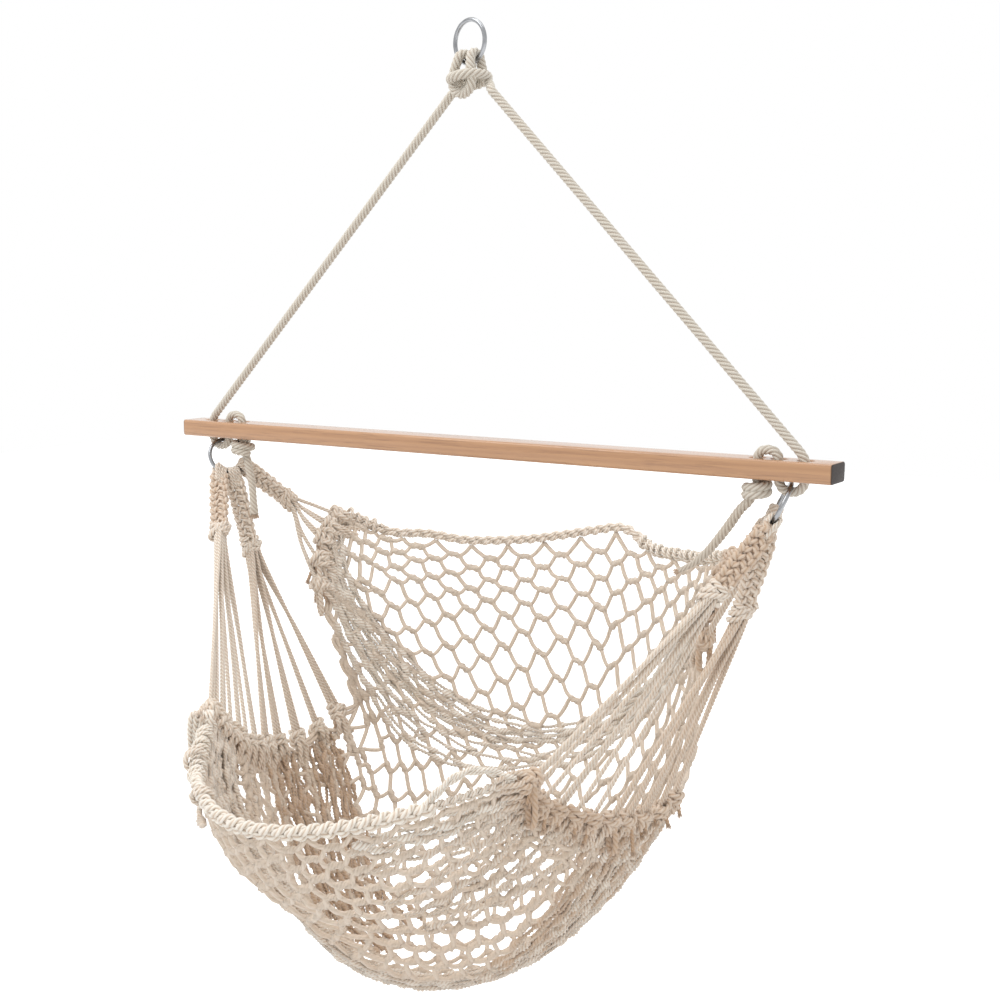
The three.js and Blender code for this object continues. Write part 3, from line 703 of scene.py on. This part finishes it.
def sling_slopes(across, down):
    """The directions across and down the surface, and the way it faces"""
    a, d = min(across + 0.002, 1), min(down + 0.002, 1)
    slope_across = (sling_point(a, down) - sling_point(a - 0.002, down)).normalized()
    slope_down = (sling_point(across, d) - sling_point(across, d - 0.002)).normalized()
    return slope_across, slope_down, slope_across.cross(slope_down).normalized()


# %% [markdown]
# ## The net
#
# The net was knotted by hand from one cord, row by row, and each knot binds four cords. The rows are
# pulled open in the middle and drawn together at the sides, where the gather knots hold them. So the
# lattice is laid on the surface with its columns closer at the sides, and its rows lean to the nearest
# gather knot. A knot is a short, thick, twisted sausage that lies along the way the net is stretched.

# %% Lattice of knots
gather_rows = {
    "front": [1, 0.95, 0.9, 0.85, 0.8, 0.75, 0.7],
    "middle": [0.65, 0.6, 0.55, 0.5, 0.45],
    "back": [0, 0.05, 0.1, 0.15, 0.2],
}
all_gathers = sorted(row for rows in gather_rows.values() for row in rows)
net_rows, net_columns = 54, 15
knot_length, knot_size = 0.025, 0.0125
open_share = 0.8
fold_line = [(0.15,), (0.235,), (0.262,), (0.267,), (0.27,), (0.266,), (0.25,), (0.225,), (0.2,), (0.16,), (0.11,)]
fold_half, fold_share = 0.085, 0.55
pull_reach, pull_share, pull_from, pull_width = 0.045, 0.85, 0.62, 0.38
fine_across, fine_down, broad_across, broad_down = 0.014, 0.005, 0.024, 0.010


def pulled_down(across, down):
    """Where a row lies once the gather knots have drawn it in"""
    nearest = min(all_gathers, key=lambda row: abs(row - down))
    if abs(nearest - down) > pull_reach:
        return down
    pull = clamped((abs(across) - pull_from) / pull_width)
    pull = pull * pull * (3 - 2 * pull)
    return down + (nearest - down) * pull_share * pull


def folded_down(across, down):
    """Where a row lies once the low back has folded, which crowds the rows there"""
    off = down - along_table(fold_line, (across + 1) / 2)[0]
    return down - off * fold_share * math.exp(-(off / fold_half) ** 2)


def is_edge(row, column):
    return row in (0, net_rows) or (row % 2 == 0 and column in (0, net_columns))


def net_place(row, column):
    """Where a crossing lies. Inside the net's edges it is as uneven as hand work."""
    u = (2 * column + row % 2) / net_columns - 1
    across = open_share * math.sin(math.pi * u / 2) + (1 - open_share) * u
    down = folded_down(across, row / net_rows)
    if is_edge(row, column):
        return across, pulled_down(across, clamped(down))
    fine = noise.noise_vector(Vector((row * 3.1, column * 5.7, 2.0)))
    broad = noise.noise_vector(Vector((across * 2.4, down * 5.0, 7.0)))
    down = pulled_down(across, clamped(down + fine_down * fine.y + broad_down * broad.y))
    return clamped(across + fine_across * fine.x + broad_across * broad.x, -0.99, 0.99), down


net = {}
for row in range(net_rows + 1):
    for column in range(net_columns + 1 - row % 2):
        across, down = net_place(row, column)
        net[row, column] = (across, down, sling_point(across, down))
print("the net has", len(net), "crossings")


def neighbours(row, column):
    """The crossings in the next row that a crossing is tied to"""
    columns = (column - 1, column) if row % 2 == 0 else (column, column + 1)
    return [(row + 1, c) for c in columns if (row + 1, c) in net]


knot_axis = {}
for (row, column), (across, down, point) in net.items():
    slope_across, slope_down, facing = sling_slopes(across, down)
    wide = net.get((row, column + 1)) or net.get((row, column - 1))
    tall = net.get((row + 2, column)) or net.get((row - 2, column))
    wide, tall = (wide[2] - point).length, (tall[2] - point).length
    lean = vary(0.35, 0.8) * (1 if across < 0.25 else -1)
    axis = slope_across * wide ** 3 + slope_down * lean * tall ** 3
    knot_axis[row, column] = axis.normalized()


# %% Cords and knots of the net
def painted_shade_there(across, down):
    """Painted warm shade where the cords bunch near the gathered sides and under the seat, most on its right, with a
    little random tone
    """
    near = clamped((abs(across) - 0.5) / 0.45)
    under = math.exp(-((down - 0.62) / 0.2) ** 2) * (0.15 + 0.25 * max(across, 0))
    return 0.5 * near * near + under + 0.12 * noise.noise(Vector((across * 4, down * 12, 1.0)))


def net_cord(start, end, shift=0.0):
    """One cord from a knot's end to the next knot's end, moved aside where two run together"""
    a, b = net[start][2], net[end][2]
    ways = []
    for key, here, there in ((start, a, b), (end, b, a)):
        axis = knot_axis[key]
        sign = 1 if axis.dot(there - here) > 0 else -1
        reach = 0 if is_edge(*key) else knot_length * 0.34
        ways.append(axis * sign * reach)
    out_a, out_b = a + ways[0], b + ways[1]
    facing = sling_slopes(*net[start][:2])[2]
    beside = facing.cross(out_b - out_a).normalized() * shift
    droop = Vector((0, 0, -1)) * vary(0.001, 0.004)
    middle = (out_a + out_b) / 2 + facing * vary(-0.0015, 0.0015) + droop
    points = [a + ways[0] * 0.3, out_a + beside * 0.8, middle + beside, out_b + beside * 0.8, b + ways[1] * 0.3]
    line = smooth_line(points, max((out_b - out_a).length / 5, 0.004))
    turns, widths = np.full(len(line), vary(0, 6)), np.full(len(line), vary(0.95, 1.06))
    return line, turns, widths, painted_shade_there(*net[start][:2])


def net_knot(key):
    """A knot as a short thick sausage with drawn-in ends"""
    across, down, point = net[key]
    size = vary(0.88, 1.1)
    shares = [-0.5, -0.34, -0.14, 0.02, 0.2, 0.36, 0.5]
    widths = np.array([0.4, 0.8, 1.0, 0.8, 1.02, 0.8, 0.4]) * size * knot_size / cord_size
    points = np.array([list(point + knot_axis[key] * knot_length * size * share) for share in shares])
    start = vary(0, 6)
    turns = np.array([start - 0.65 * k for k in range(len(shares))])
    return points, turns, widths, painted_shade_there(across, down) + vary(-0.05, 0.05)


bands = ["back_top", "back_middle", "back_low", "seat_rear", "seat_middle", "seat_front"]
quarters = ["left", "centre_left", "centre_right", "right"]
for k, band in enumerate(bands):
    cords, knots = [], []
    for key in net:
        if min(key[0] * len(bands) // net_rows, len(bands) - 1) != k:
            continue
        for other in neighbours(*key):
            shifts = (-0.0031, 0.0031) if is_edge(*key) != is_edge(*other) and 0 < key[0] < net_rows - 1 else (0,)
            cords += [net_cord(key, other, shift) for shift in shifts]
        if not is_edge(*key):
            knots.append(net_knot(key))
    piece_of(f"knotted_net_{band}", [sweep(cords, net_outline), sweep(knots, knot_outline)], net_cotton, "sling",
             "natural_cotton_cord", *[f"net_{band}_{quarter}" for quarter in quarters])

# %% [markdown]
# ## Plaits
#
# A flat plait of an odd number of strands can be written as two waves. Each strand swings from side to
# side once, and meanwhile goes over and under its neighbours, which is a faster wave through the
# thickness. The strands follow each other evenly, so wherever two cross, one is above and one below.


# %% Plait
def frames(spine, flats):
    """Directions across and through a band, from the way its width lies"""
    along = np.gradient(spine, axis=0)
    along /= np.linalg.norm(along, axis=1)[:, None]
    flats = flats - along * np.sum(flats * along, axis=1)[:, None]
    flats /= np.linalg.norm(flats, axis=1)[:, None]
    return flats, np.cross(along, flats)


def plait(spine, flats, width, depth, wave, strands, size, start=0.0):
    """Lines of a flat plait along a spine, with the direction of its width at each point"""
    reach = run_lengths(spine)
    flats, through = frames(spine, flats)
    lines = []
    for k in range(strands):
        phase = math.tau * (reach / wave + k / strands) + start
        x = (width - size) / 2 * np.sin(phase)
        z = (depth - size) / 2 * np.sin((strands - 1) * phase)
        lines.append(spine + flats * x[:, None] + through * z[:, None])
    return lines


def wound(spine, flats, radius, pitch, uneven):
    """A cord wound along a spine"""
    reach = run_lengths(spine)
    flats, through = frames(spine, flats)
    fine = np.arange(0, reach[-1], pitch / 14)
    middle, side, other = (rows_at(fine, reach, rows) for rows in (spine, flats, through))
    turn = math.tau * fine / pitch
    swell = radius * (1 + uneven * np.sin(fine / pitch * 2.3))
    return middle + side * (np.cos(turn) * swell)[:, None] + other * (np.sin(turn) * swell)[:, None]


def cord_sweep(lines, size=cord_size, shade_and_tan=0.0):
    """Twisted cords along lines, each a little more or less tan than the next; the tan is painted warm shade and real
    browning together
    """
    width = size / cord_size
    ready = []
    for line in lines:
        line = even_line(np.asarray(line), fine_step)
        shade = clamped(shade_and_tan + vary(-0.08, 0.12))
        ready.append(laid(line, cord_lay * width, vary(0, 6), width, shade))
    return sweep(ready, cord_outline)


def cord_piece(name, meshes, *replaces):
    piece_of(name, meshes, cord_cotton, "sling", "natural_cotton_cord", *replaces)


# %% [markdown]
# ## Edge ropes
#
# The top of the back and the front of the seat end in plump plaits, which the last row of the net is
# tied to. Near its ends each rope is bound over with thin cord, and the front one opens into two bands
# before it reaches its right knot.


# %% Edge ropes
left_corner_draw = 0.014
edge_steps, fine_step = 40, 0.0016


def edge_line(down, outward, across_from, across_to, lift=0.0):
    """A line beside the sling's top or front edge, and the way down the surface there"""
    spine, flats = [], []
    for k in range(edge_steps + 1):
        share = k / edge_steps
        across = across_from + (across_to - across_from) * share
        slope_down = sling_slopes(across, down)[1]
        rise = Vector((0, 0, lift * math.sin(math.pi * share)))
        drawn_in = clamped((-0.45 - across) / 0.3) * left_corner_draw * down
        spine.append(list(sling_point(across, down) + slope_down * (outward - drawn_in) + rise))
        flats.append(list(slope_down))
    line = smooth_line(spine, fine_step)
    return line, rows_at(np.linspace(0, edge_steps, len(line)), range(edge_steps + 1), np.array(flats))


def edge_plait(edge, width, depth, wave, size, shade_and_tan):
    """A plait of three cords along an edge"""
    return cord_sweep(plait(*edge, width, depth, wave, 3, size), size, shade_and_tan)


def binding(edge, radius, pitch, uneven, size, shade_and_tan):
    """A thin cord bound round an edge's plait"""
    return cord_sweep([wound(*edge, radius, pitch, uneven)], size, shade_and_tan)


back_size, front_size = 0.0165, 0.019
above, ahead = -(back_size / 2 + 2 * touch), front_size / 2 + 2 * touch
back_right, front_left = edge_line(0, above, 0.42, 0.955), edge_line(1, ahead, -0.955, -0.55)
cord_piece("back_plait", [edge_plait(edge_line(0, above, -0.955, 0.5), 0.0165, 0.016, 0.060, 0.0078, 0.08),
                          edge_plait(back_right, 0.013, 0.012, 0.045, 0.006, 0.02),
                          binding(back_right, 0.0075, 0.0125, 0.15, 0.0064, 0.0),
                          binding(edge_line(0, above, -1, -0.86), 0.0085, 0.014, 0.25, 0.0064, 0.1)],
           "back_edge_rope")
cord_piece("front_plait", [edge_plait(edge_line(1, ahead, -0.6, 0.74), 0.0205, 0.018, 0.050, 0.0093, 0.02),
                           edge_plait(front_left, 0.016, 0.014, 0.036, 0.007, 0.02),
                           binding(front_left, 0.0085, 0.0105, 0.2, 0.0066, 0.02),
                           edge_plait(edge_line(1, ahead, 0.70, 0.955), 0.014, 0.011, 0.036, 0.0058, 0.1),
                           edge_plait(edge_line(1, front_size / 2, 0.70, 0.97, 0.03), 0.013, 0.009, 0.08, 0.006, 0.05)],
           "front_edge_rope")

# %% [markdown]
# ## Arms and fans
#
# Three plaited arms grip each side ring with loops that cover its wire. Below its knot each arm opens
# into a fan of cords, and every cord ties up a bunch of the net's edge.

# %% Arms and fans
arm_ends = {"front": (1.212, -0.162, -0.199), "middle": (1.224, -0.009, -0.246), "back": (1.179, 0.139, -0.154)}
arm_grips = {"front": -48, "middle": -2, "back": 46}
# How tan the arms are is painted shade: the front arm, which the key lamp lights most, is darkened most.
arm_shade_and_tan = {"front": 0.6, "middle": 0.35, "back": 0.25}
arm_width, arm_depth, arm_strand, arm_wave = 0.031, 0.018, 0.0092, 0.060
arm_face = Vector((0.84, 0.54, 0))
fan_counts = {"left": {"front": [2, 1, 2, 1, 2, 1, 2], "middle": [3, 3, 3, 2, 3], "back": [1, 2, 2, 1, 2]},
              "right": {"front": [1, 1, 1, 1, 2, 1, 1], "middle": [2, 2, 3, 2, 2], "back": [1, 2, 2, 1, 2]}}
# How tan the fans are is painted shade as well.
fan_shade_and_tan = {"front": 0.1, "middle": 0.35, "back": 0.15}
fan_gap, fan_sag = 0.0072, Vector((0, 0, -0.002))
loop_size, knot_cord, fan_size, tie_off = 0.0068, 0.0082, 0.0067, 0.0075


def arm_end(side, arm):
    x, y, z = arm_ends[arm]
    return Vector((side * x * sling_half_width, y * sling_reach, bar_z + z * sling_drop))


def on_side_ring(side, degrees):
    """A place on a side ring's wire, the wire's direction there and the way out from the ring's middle"""
    down, back, middle = side_ring_place(side)
    turn = math.radians(degrees)
    outward = down * math.cos(turn) + back * math.sin(turn)
    along = back * math.cos(turn) - down * math.sin(turn)
    return middle + outward * ring_radius, along, outward


def ring_loop(side, degrees, run, size):
    """A loop of cord over the wire, with its two legs"""
    grip, along, outward = on_side_ring(side, degrees)
    through = outward.cross(along)
    reach = ring_wire / 2 + size / 2 + touch
    turns = [math.pi * q / 8 for q in range(9)]
    arc = [grip - outward * reach * math.sin(turn) + through * reach * math.cos(turn) for turn in turns]
    legs = [arc[end] + run * 0.013 - through * way * 0.002 for end, way in ((0, 1), (-1, -1))]
    return smooth_line([legs[0] + run * 0.012, legs[0], *arc, legs[1], legs[1] + run * 0.012], 0.0014)


def coil(middle, axis, radius, turns, pitch, lean=0.0, squash=1.0, flat=None):
    """A cord wound round an axis, flattened if need be and leaning to one side"""
    axis = Vector(axis).normalized()
    side = Vector(flat) if flat is not None else axis.orthogonal()
    side = (side - axis * side.dot(axis)).normalized()
    other = axis.cross(side)
    count = max(8, int(turns * 14))
    start = vary(0, 6)
    points = []
    for k in range(count + 1):
        turn = start + math.tau * turns * k / count
        height = (k / count - 0.5) * pitch * turns + lean * radius * math.cos(turn)
        points.append(Vector(middle) + axis * height + side * radius * math.cos(turn)
                      + other * radius * squash * math.sin(turn))
    return smooth_line(points, cord_step)


def drawn_rows(side, arm):
    """The rows of an arm's gather knots, which stand closer together under the middle right arm"""
    rows = gather_rows[arm]
    return [rows[0] + (row - rows[0]) * 0.8 for row in rows] if side > 0 and arm == "middle" else rows


def tie_point(side, row):
    """Where a fan cord is tied to the sling's edge, with the surface's directions there"""
    slope_across, slope_down, facing = sling_slopes(side, row)
    return sling_point(side, row) + slope_across * side * (tie_off + touch), slope_across * side, slope_down, facing


for name, side in both_sides:
    for arm in gather_rows:
        rows = drawn_rows(side, arm)
        grip, along = on_side_ring(side, arm_grips[arm])[:2]
        end = arm_end(side, arm)
        run = (end - grip).normalized()
        spread = (sling_point(side, rows[0]) - sling_point(side, rows[-1])).normalized()
        order = 1 if spread.dot(along) > 0 else -1
        spread = spread * order
        length = (end - grip).length
        steps = np.linspace(0.006, length - 0.004, int(length / cord_step))
        spine = np.array([list(grip + run * reach) for reach in steps])
        flats = np.array([list(along.lerp(arm_face, min(reach / 0.03, 1))) for reach in steps])
        lines = plait(spine, flats, arm_width, arm_depth, arm_wave, 5, arm_strand, vary(0, 6))
        narrow = np.interp(steps, [0, 0.014, length * 0.6, length], [0.7, 1.0, 1.0, 0.8])
        lines = [spine + (line - spine) * narrow[:, None] for line in lines]
        loops = [ring_loop(side, arm_grips[arm] + turn, run, loop_size) for turn in (-15, -5, 5, 15)]
        meshes = [cord_sweep(lines, arm_strand, arm_shade_and_tan[arm]), cord_sweep(loops, loop_size, 0.2)]
        cord_piece(f"arm_plait_{name}_{arm}", meshes, f"plaited_arm_{name}_{arm}")

        wraps = [coil(end, run, 0.0112, 2.3, 0.008, 0.3, 0.85, arm_face),
                 coil(end + run * 0.004, run, 0.0132, 1.3, 0.009, -0.7, 0.8, arm_face),
                 coil(end - run * 0.002 + arm_face * 0.011, arm_face, 0.0045, 1.3, 0.008)]
        cords = []
        for k, row in enumerate(rows):
            tie, _, slope_down, _ = tie_point(side, row)
            twins = fan_counts[name][arm][k]
            for twin in range(twins):
                shift = (twin - (twins - 1) / 2) * fan_gap
                place = (k / (len(rows) - 1) - 0.5) * -order
                begin = end + spread * place * 0.017 + run.cross(spread) * (shift * 0.7 + 0.003 * (-1) ** k)
                finish = tie + slope_down * shift
                middle = begin.lerp(finish, 0.5) + fan_sag
                cords.append(smooth_line([begin - run * 0.006, begin + run * 0.014, middle, finish], cord_step))
        # The right fans get 0.15 more tan: painted shade on the side turned from the key lamp.
        meshes = [cord_sweep(wraps, knot_cord, 0.25), cord_sweep(cords, fan_size, fan_shade_and_tan[arm] + 0.15 * (side > 0))]
        cord_piece(f"fan_cords_{name}_{arm}", meshes, f"cord_fan_{name}_{arm}")

# %% [markdown]
# ## Gather knots
#
# Where a fan cord meets the net, it is wound round a bunch of the net's loops. The loops bulge out of
# the knot on the net's side, and the cord's end is left to hang and fray. Some knots also hold a hank,
# a doubled cord that hangs in a loop.

# %% Gathers
wrap_cord, bunch_cord, hank_cord = 0.0090, 0.0076, 0.0086


def gather(side, row):
    """Thick loops, a lumpy knot and frayed ends at one place of the sling's edge"""
    tie, out, slope_down, facing = tie_point(side, row)
    wraps = [coil(tie, out, 0.0100, 2.2, 0.0086, vary(-0.4, 0.4), 0.9, slope_down),
             coil(tie - out * 0.009, slope_down, 0.0105, 1.6, 0.0090, vary(-0.5, 0.5), 0.9, facing),
             coil(tie - out * 0.005 + slope_down * vary(-0.006, 0.006), facing, 0.0095, 1.5, 0.0085, 0.5)]
    loops = []
    for k in range(5):
        reach = vary(0.026, 0.050)
        beside = slope_down * ((k - 2) * 0.0062 + vary(-0.003, 0.003))
        bulge = facing * chance.choice((-1, 1)) * vary(0.002, 0.010)
        loops.append(smooth_line([tie + beside * 0.4, tie - out * reach * 0.45 + beside + bulge,
                                  tie - out * reach + beside * 1.5], cord_step))
    tails = []
    for k in range(2):
        drop = Vector((vary(-0.35, 0.35), vary(-0.35, 0.35), -1)).normalized()
        start = tie + facing * 0.006 * (-1) ** k + slope_down * vary(-0.005, 0.005)
        tails.append(smooth_line([tie, start + drop * 0.006, start + drop * vary(0.014, 0.038)], cord_step))
    fibres = [fibre for tail in tails for fibre in frayed_end(tail[-1], tail[-1] - tail[-2], cord_size, 0.007, 16)]
    return wraps, loops, tails, fibres


def hank(side, row, length):
    """A doubled cord that hangs in a loop from a gather knot"""
    tie, *_, facing = tie_point(side, row)
    lean = Vector((vary(-0.15, 0.15), vary(-0.15, 0.15), -1)).normalized()
    across = (facing - lean * facing.dot(lean)).normalized() * 0.006
    ways = [(0.0, 1.0), (0.5, 1.3), (0.9, 0.9), (1.0, 0.0), (0.9, -0.9), (0.5, -1.2), (0.0, -0.6)]
    return smooth_line([tie + lean * length * down + across * way for down, way in ways], fine_step)


for name, side in both_sides:
    for arm in gather_rows:
        rows = drawn_rows(side, arm)
        wraps, loops, tails, fibres = (sum(lines, []) for lines in zip(*[gather(side, row) for row in rows]))
        front_rows = [1, 1, 1, 1] if side < 0 else [1, 1, 0.95, 0.9]
        hank_rows = {"back": rows if side < 0 else rows[-1:], "middle": rows[:1], "front": front_rows}[arm]
        hanks = [hank(side, row, vary(0.030, 0.058)) for row in hank_rows]
        # The right side's wraps and hanks get much more tan than the left's: painted shade on the side turned from the
        # key lamp. The tails are tan as frayed ends are.
        cord_piece(f"gather_knots_{name}_{arm}", [
            cord_sweep(wraps, wrap_cord, 0.6 if side > 0 else 0.25), cord_sweep(loops, bunch_cord, 0.4),
            cord_sweep(tails, cord_size, 0.8), sweep(fibres, fibre_outline),
            cord_sweep(hanks, hank_cord, 0.25 if side < 0 else 0.75)])

# %% [markdown]
# ## The front left corner
#
# At the seat's front left corner a bundle of the net's cords hangs down before the knot, and two more
# knots sit on the front rope.

# %% Corner bundle
corner, nearer, up = tie_point(-1, 1)[0], Vector((0.54, -0.84, 0)), Vector((0, 0, 1))
bundle_size, lump_size, bundle_gap, bundle_aside, lump_places = 0.0082, 0.0074, 0.0066, 0.005, (-0.68, -0.4)
bundle = []
for k in range(5):
    beside = arm_face * ((k - 2) * bundle_gap - bundle_aside) + nearer * vary(0.034, 0.038)
    bundle.append(smooth_line([corner + beside * 0.4, corner + beside + up * 0.006,
                               corner + beside - arm_face * 0.004 - up * 0.036,
                               corner + beside * 0.9 - up * 0.080], cord_step))
lumps = []
for across in lump_places:
    slope_across, slope_down = sling_slopes(across, 1)[:2]
    lumps.append(coil(sling_point(across, 1) + slope_down * 0.010, slope_across, 0.0115, 1.9, 0.008, 0.4))
cord_piece("front_corner", [cord_sweep(bundle, bundle_size, 0.1), cord_sweep(lumps, lump_size, 0.1)])

# %% [markdown]
# ## Drawn cords
#
# A sitter's weight runs through the net along a few lines: from the front left corner under the seat to
# the right gathers, along the fold at the low back, and down both sides. There the meshes are pulled
# shut, and the cords lie side by side like a sheet. Each sheet is a line on the sling's surface with a
# half width at each point, and its cords are shared out across it. The one at the left front is thicker
# and lifted off the net.

# %% Sheets of drawn cords
# The last number of each sheet is how tan its cords are: painted shade, strongest on the shaded insides of the side
# walls.
drawn_sheets = {
    "fold": ([(-0.98, 0.15, 0.10), (-0.9, 0.24, 0.075), (-0.75, 0.28, 0.06), (-0.5, 0.285, 0.04), (-0.1, 0.27, 0.028),
              (0.2, 0.25, 0.026), (0.6, 0.20, 0.03), (0.98, 0.10, 0.09)], 16, 0.25, 0.05),
    "seat": ([(-0.97, 0.93, 0.07), (-0.7, 0.885, 0.06), (-0.4, 0.80, 0.065), (0, 0.695, 0.06),
              (0.4, 0.625, 0.05), (0.75, 0.565, 0.06), (0.98, 0.54, 0.10)], 34, 0.9, 0.3),
    "left_side": ([(-0.98, 0.56, 0.10), (-0.85, 0.565, 0.10), (-0.55, 0.59, 0.08), (-0.25, 0.60, 0.07)], 30, 0.5, 0.88),
    "right_side": ([(0.98, 0.57, 0.09), (0.85, 0.575, 0.09), (0.6, 0.59, 0.08), (0.4, 0.60, 0.07)], 22, 0.4, 0.7),
    "left_front": ([(-0.98, 0.85, 0.15), (-0.8, 0.86, 0.13), (-0.5, 0.88, 0.10)], 9, 0.6, 0.2),
    "right_front": ([(0.98, 0.84, 0.14), (0.8, 0.84, 0.12), (0.45, 0.86, 0.10)], 16, 0.35, 0.35),
    "front_strings": ([(0.98, 0.965, 0.03), (0.75, 0.965, 0.02), (0.45, 0.98, 0.012)], 3, 0.8, 0.1),
}
drawn_steps, drawn_step = 30, 0.0026
raised_sheets = {"left_front": (1.35, 0.007)}


def drawn_cord(table, place, share, lift):
    """A cord along a sheet's line, at a place between its edges, over a share of its length"""
    seed, drift = vary(0, 90), vary(-0.5, 0.5)
    points = []
    for k in range(drawn_steps + 1):
        along = share * k / drawn_steps
        across, down, half = along_table(table, along)
        wander = noise.noise_vector(Vector((along * 11, seed, 3.0)))
        across = clamped(across, -0.99, 0.99)
        down = clamped(down + half * (place + drift * (along - 0.5)) + 0.012 * wander.x, 0.004, 0.996)
        facing = sling_slopes(across, down)[2]
        points.append(sling_point(across, down) + facing * (lift + 0.003 * wander.y))
    return smooth_line(points, drawn_step)


def knotted_widths(line):
    """How thick a cord is along its line, with the swelling of a knot every few centimetres"""
    reach = run_lengths(line)
    widths = np.full(len(line), vary(0.85, 1.0))
    place = vary(0.01, 0.05)
    while place < reach[-1]:
        widths += vary(0.55, 1.0) * np.exp(-((reach - place) / 0.0075) ** 4)
        place += vary(0.038, 0.062)
    return widths


for name, (table, count, least, shade_and_tan) in drawn_sheets.items():
    thick, lift = raised_sheets.get(name, (1, 0))
    lines = []
    for k in range(count):
        place = 2 * (k + vary(-0.3, 0.3)) / (count - 1) - 1
        share = 1 if k % 3 == 0 else vary(least, 1)
        line = drawn_cord(table, place, share, lift + vary(-0.005, 0.005))
        shade = clamped(shade_and_tan + vary(-0.12, 0.15))
        lines.append(laid(line, cord_lay * 1.1, vary(0, 6), knotted_widths(line) * thick, shade))
    cord_piece(f"drawn_cords_{name}", [sweep(lines, sheet_outline)])

# %% [markdown]
# ## Studio
#
# The floor and the world are plain white to the camera. The light is soft and comes from above and a
# little from the left, as it does in a photographer's light tent.

# %% Floor, world and lamps
for outline in (rope_outline, cord_outline, sheet_outline, knot_outline, net_outline, fibre_outline):
    bpy.data.objects.remove(outline)

floor_z = -1.78
floor_shape = bmesh.new()
bmesh.ops.create_grid(floor_shape, x_segments=1, y_segments=1, size=9)
bmesh.ops.translate(floor_shape, verts=floor_shape.verts, vec=(0, 0, floor_z))
floor = placed("studio_floor", mesh_of(floor_shape, "studio_floor"))


def seen_directly(tree):
    """One where a ray comes from the camera, a reflection or through glass"""
    path = node(tree, "ShaderNodeLightPath")
    seen = maths(tree, "MAXIMUM", path.outputs["Is Camera Ray"], path.outputs["Is Glossy Ray"])
    return maths(tree, "MAXIMUM", seen, path.outputs["Is Transmission Ray"])


pale, tree, shader = new_material("pale_floor")
feed(tree, shader, {"Base Color": (0.88, 0.88, 0.88, 1), "Roughness": 0.9, "Emission Color": (1, 1, 1, 1),
                    "Emission Strength": maths(tree, "MULTIPLY", seen_directly(tree), 0.55)})
floor.data.materials.append(pale)

world = bpy.data.worlds.new("studio_world")
bpy.context.scene.world = world
world.use_nodes = True
feed(world.node_tree, world.node_tree.nodes["Background"], {"Color": (1, 1, 1, 1), "Strength": 1.0})


def soft_lamp(name, place, aim, size, power):
    """A square lamp at a place, turned to a point"""
    lamp_data = bpy.data.lights.new(name, "AREA")
    lamp_data.size = size
    lamp_data.energy = power
    lamp = placed(name, lamp_data)
    lamp.location = place
    lamp.rotation_euler = (Vector(aim) - Vector(place)).to_track_quat("-Z", "Y").to_euler()


soft_lamp("key_lamp", (-1.3, -1.6, 1.9), (0, -0.1, -0.8), 1.6, 30)
soft_lamp("top_lamp", (0.1, 0.3, 2.3), (0, 0, -0.8), 2.0, 21)
bpy.context.scene.view_settings.view_transform = "Standard"
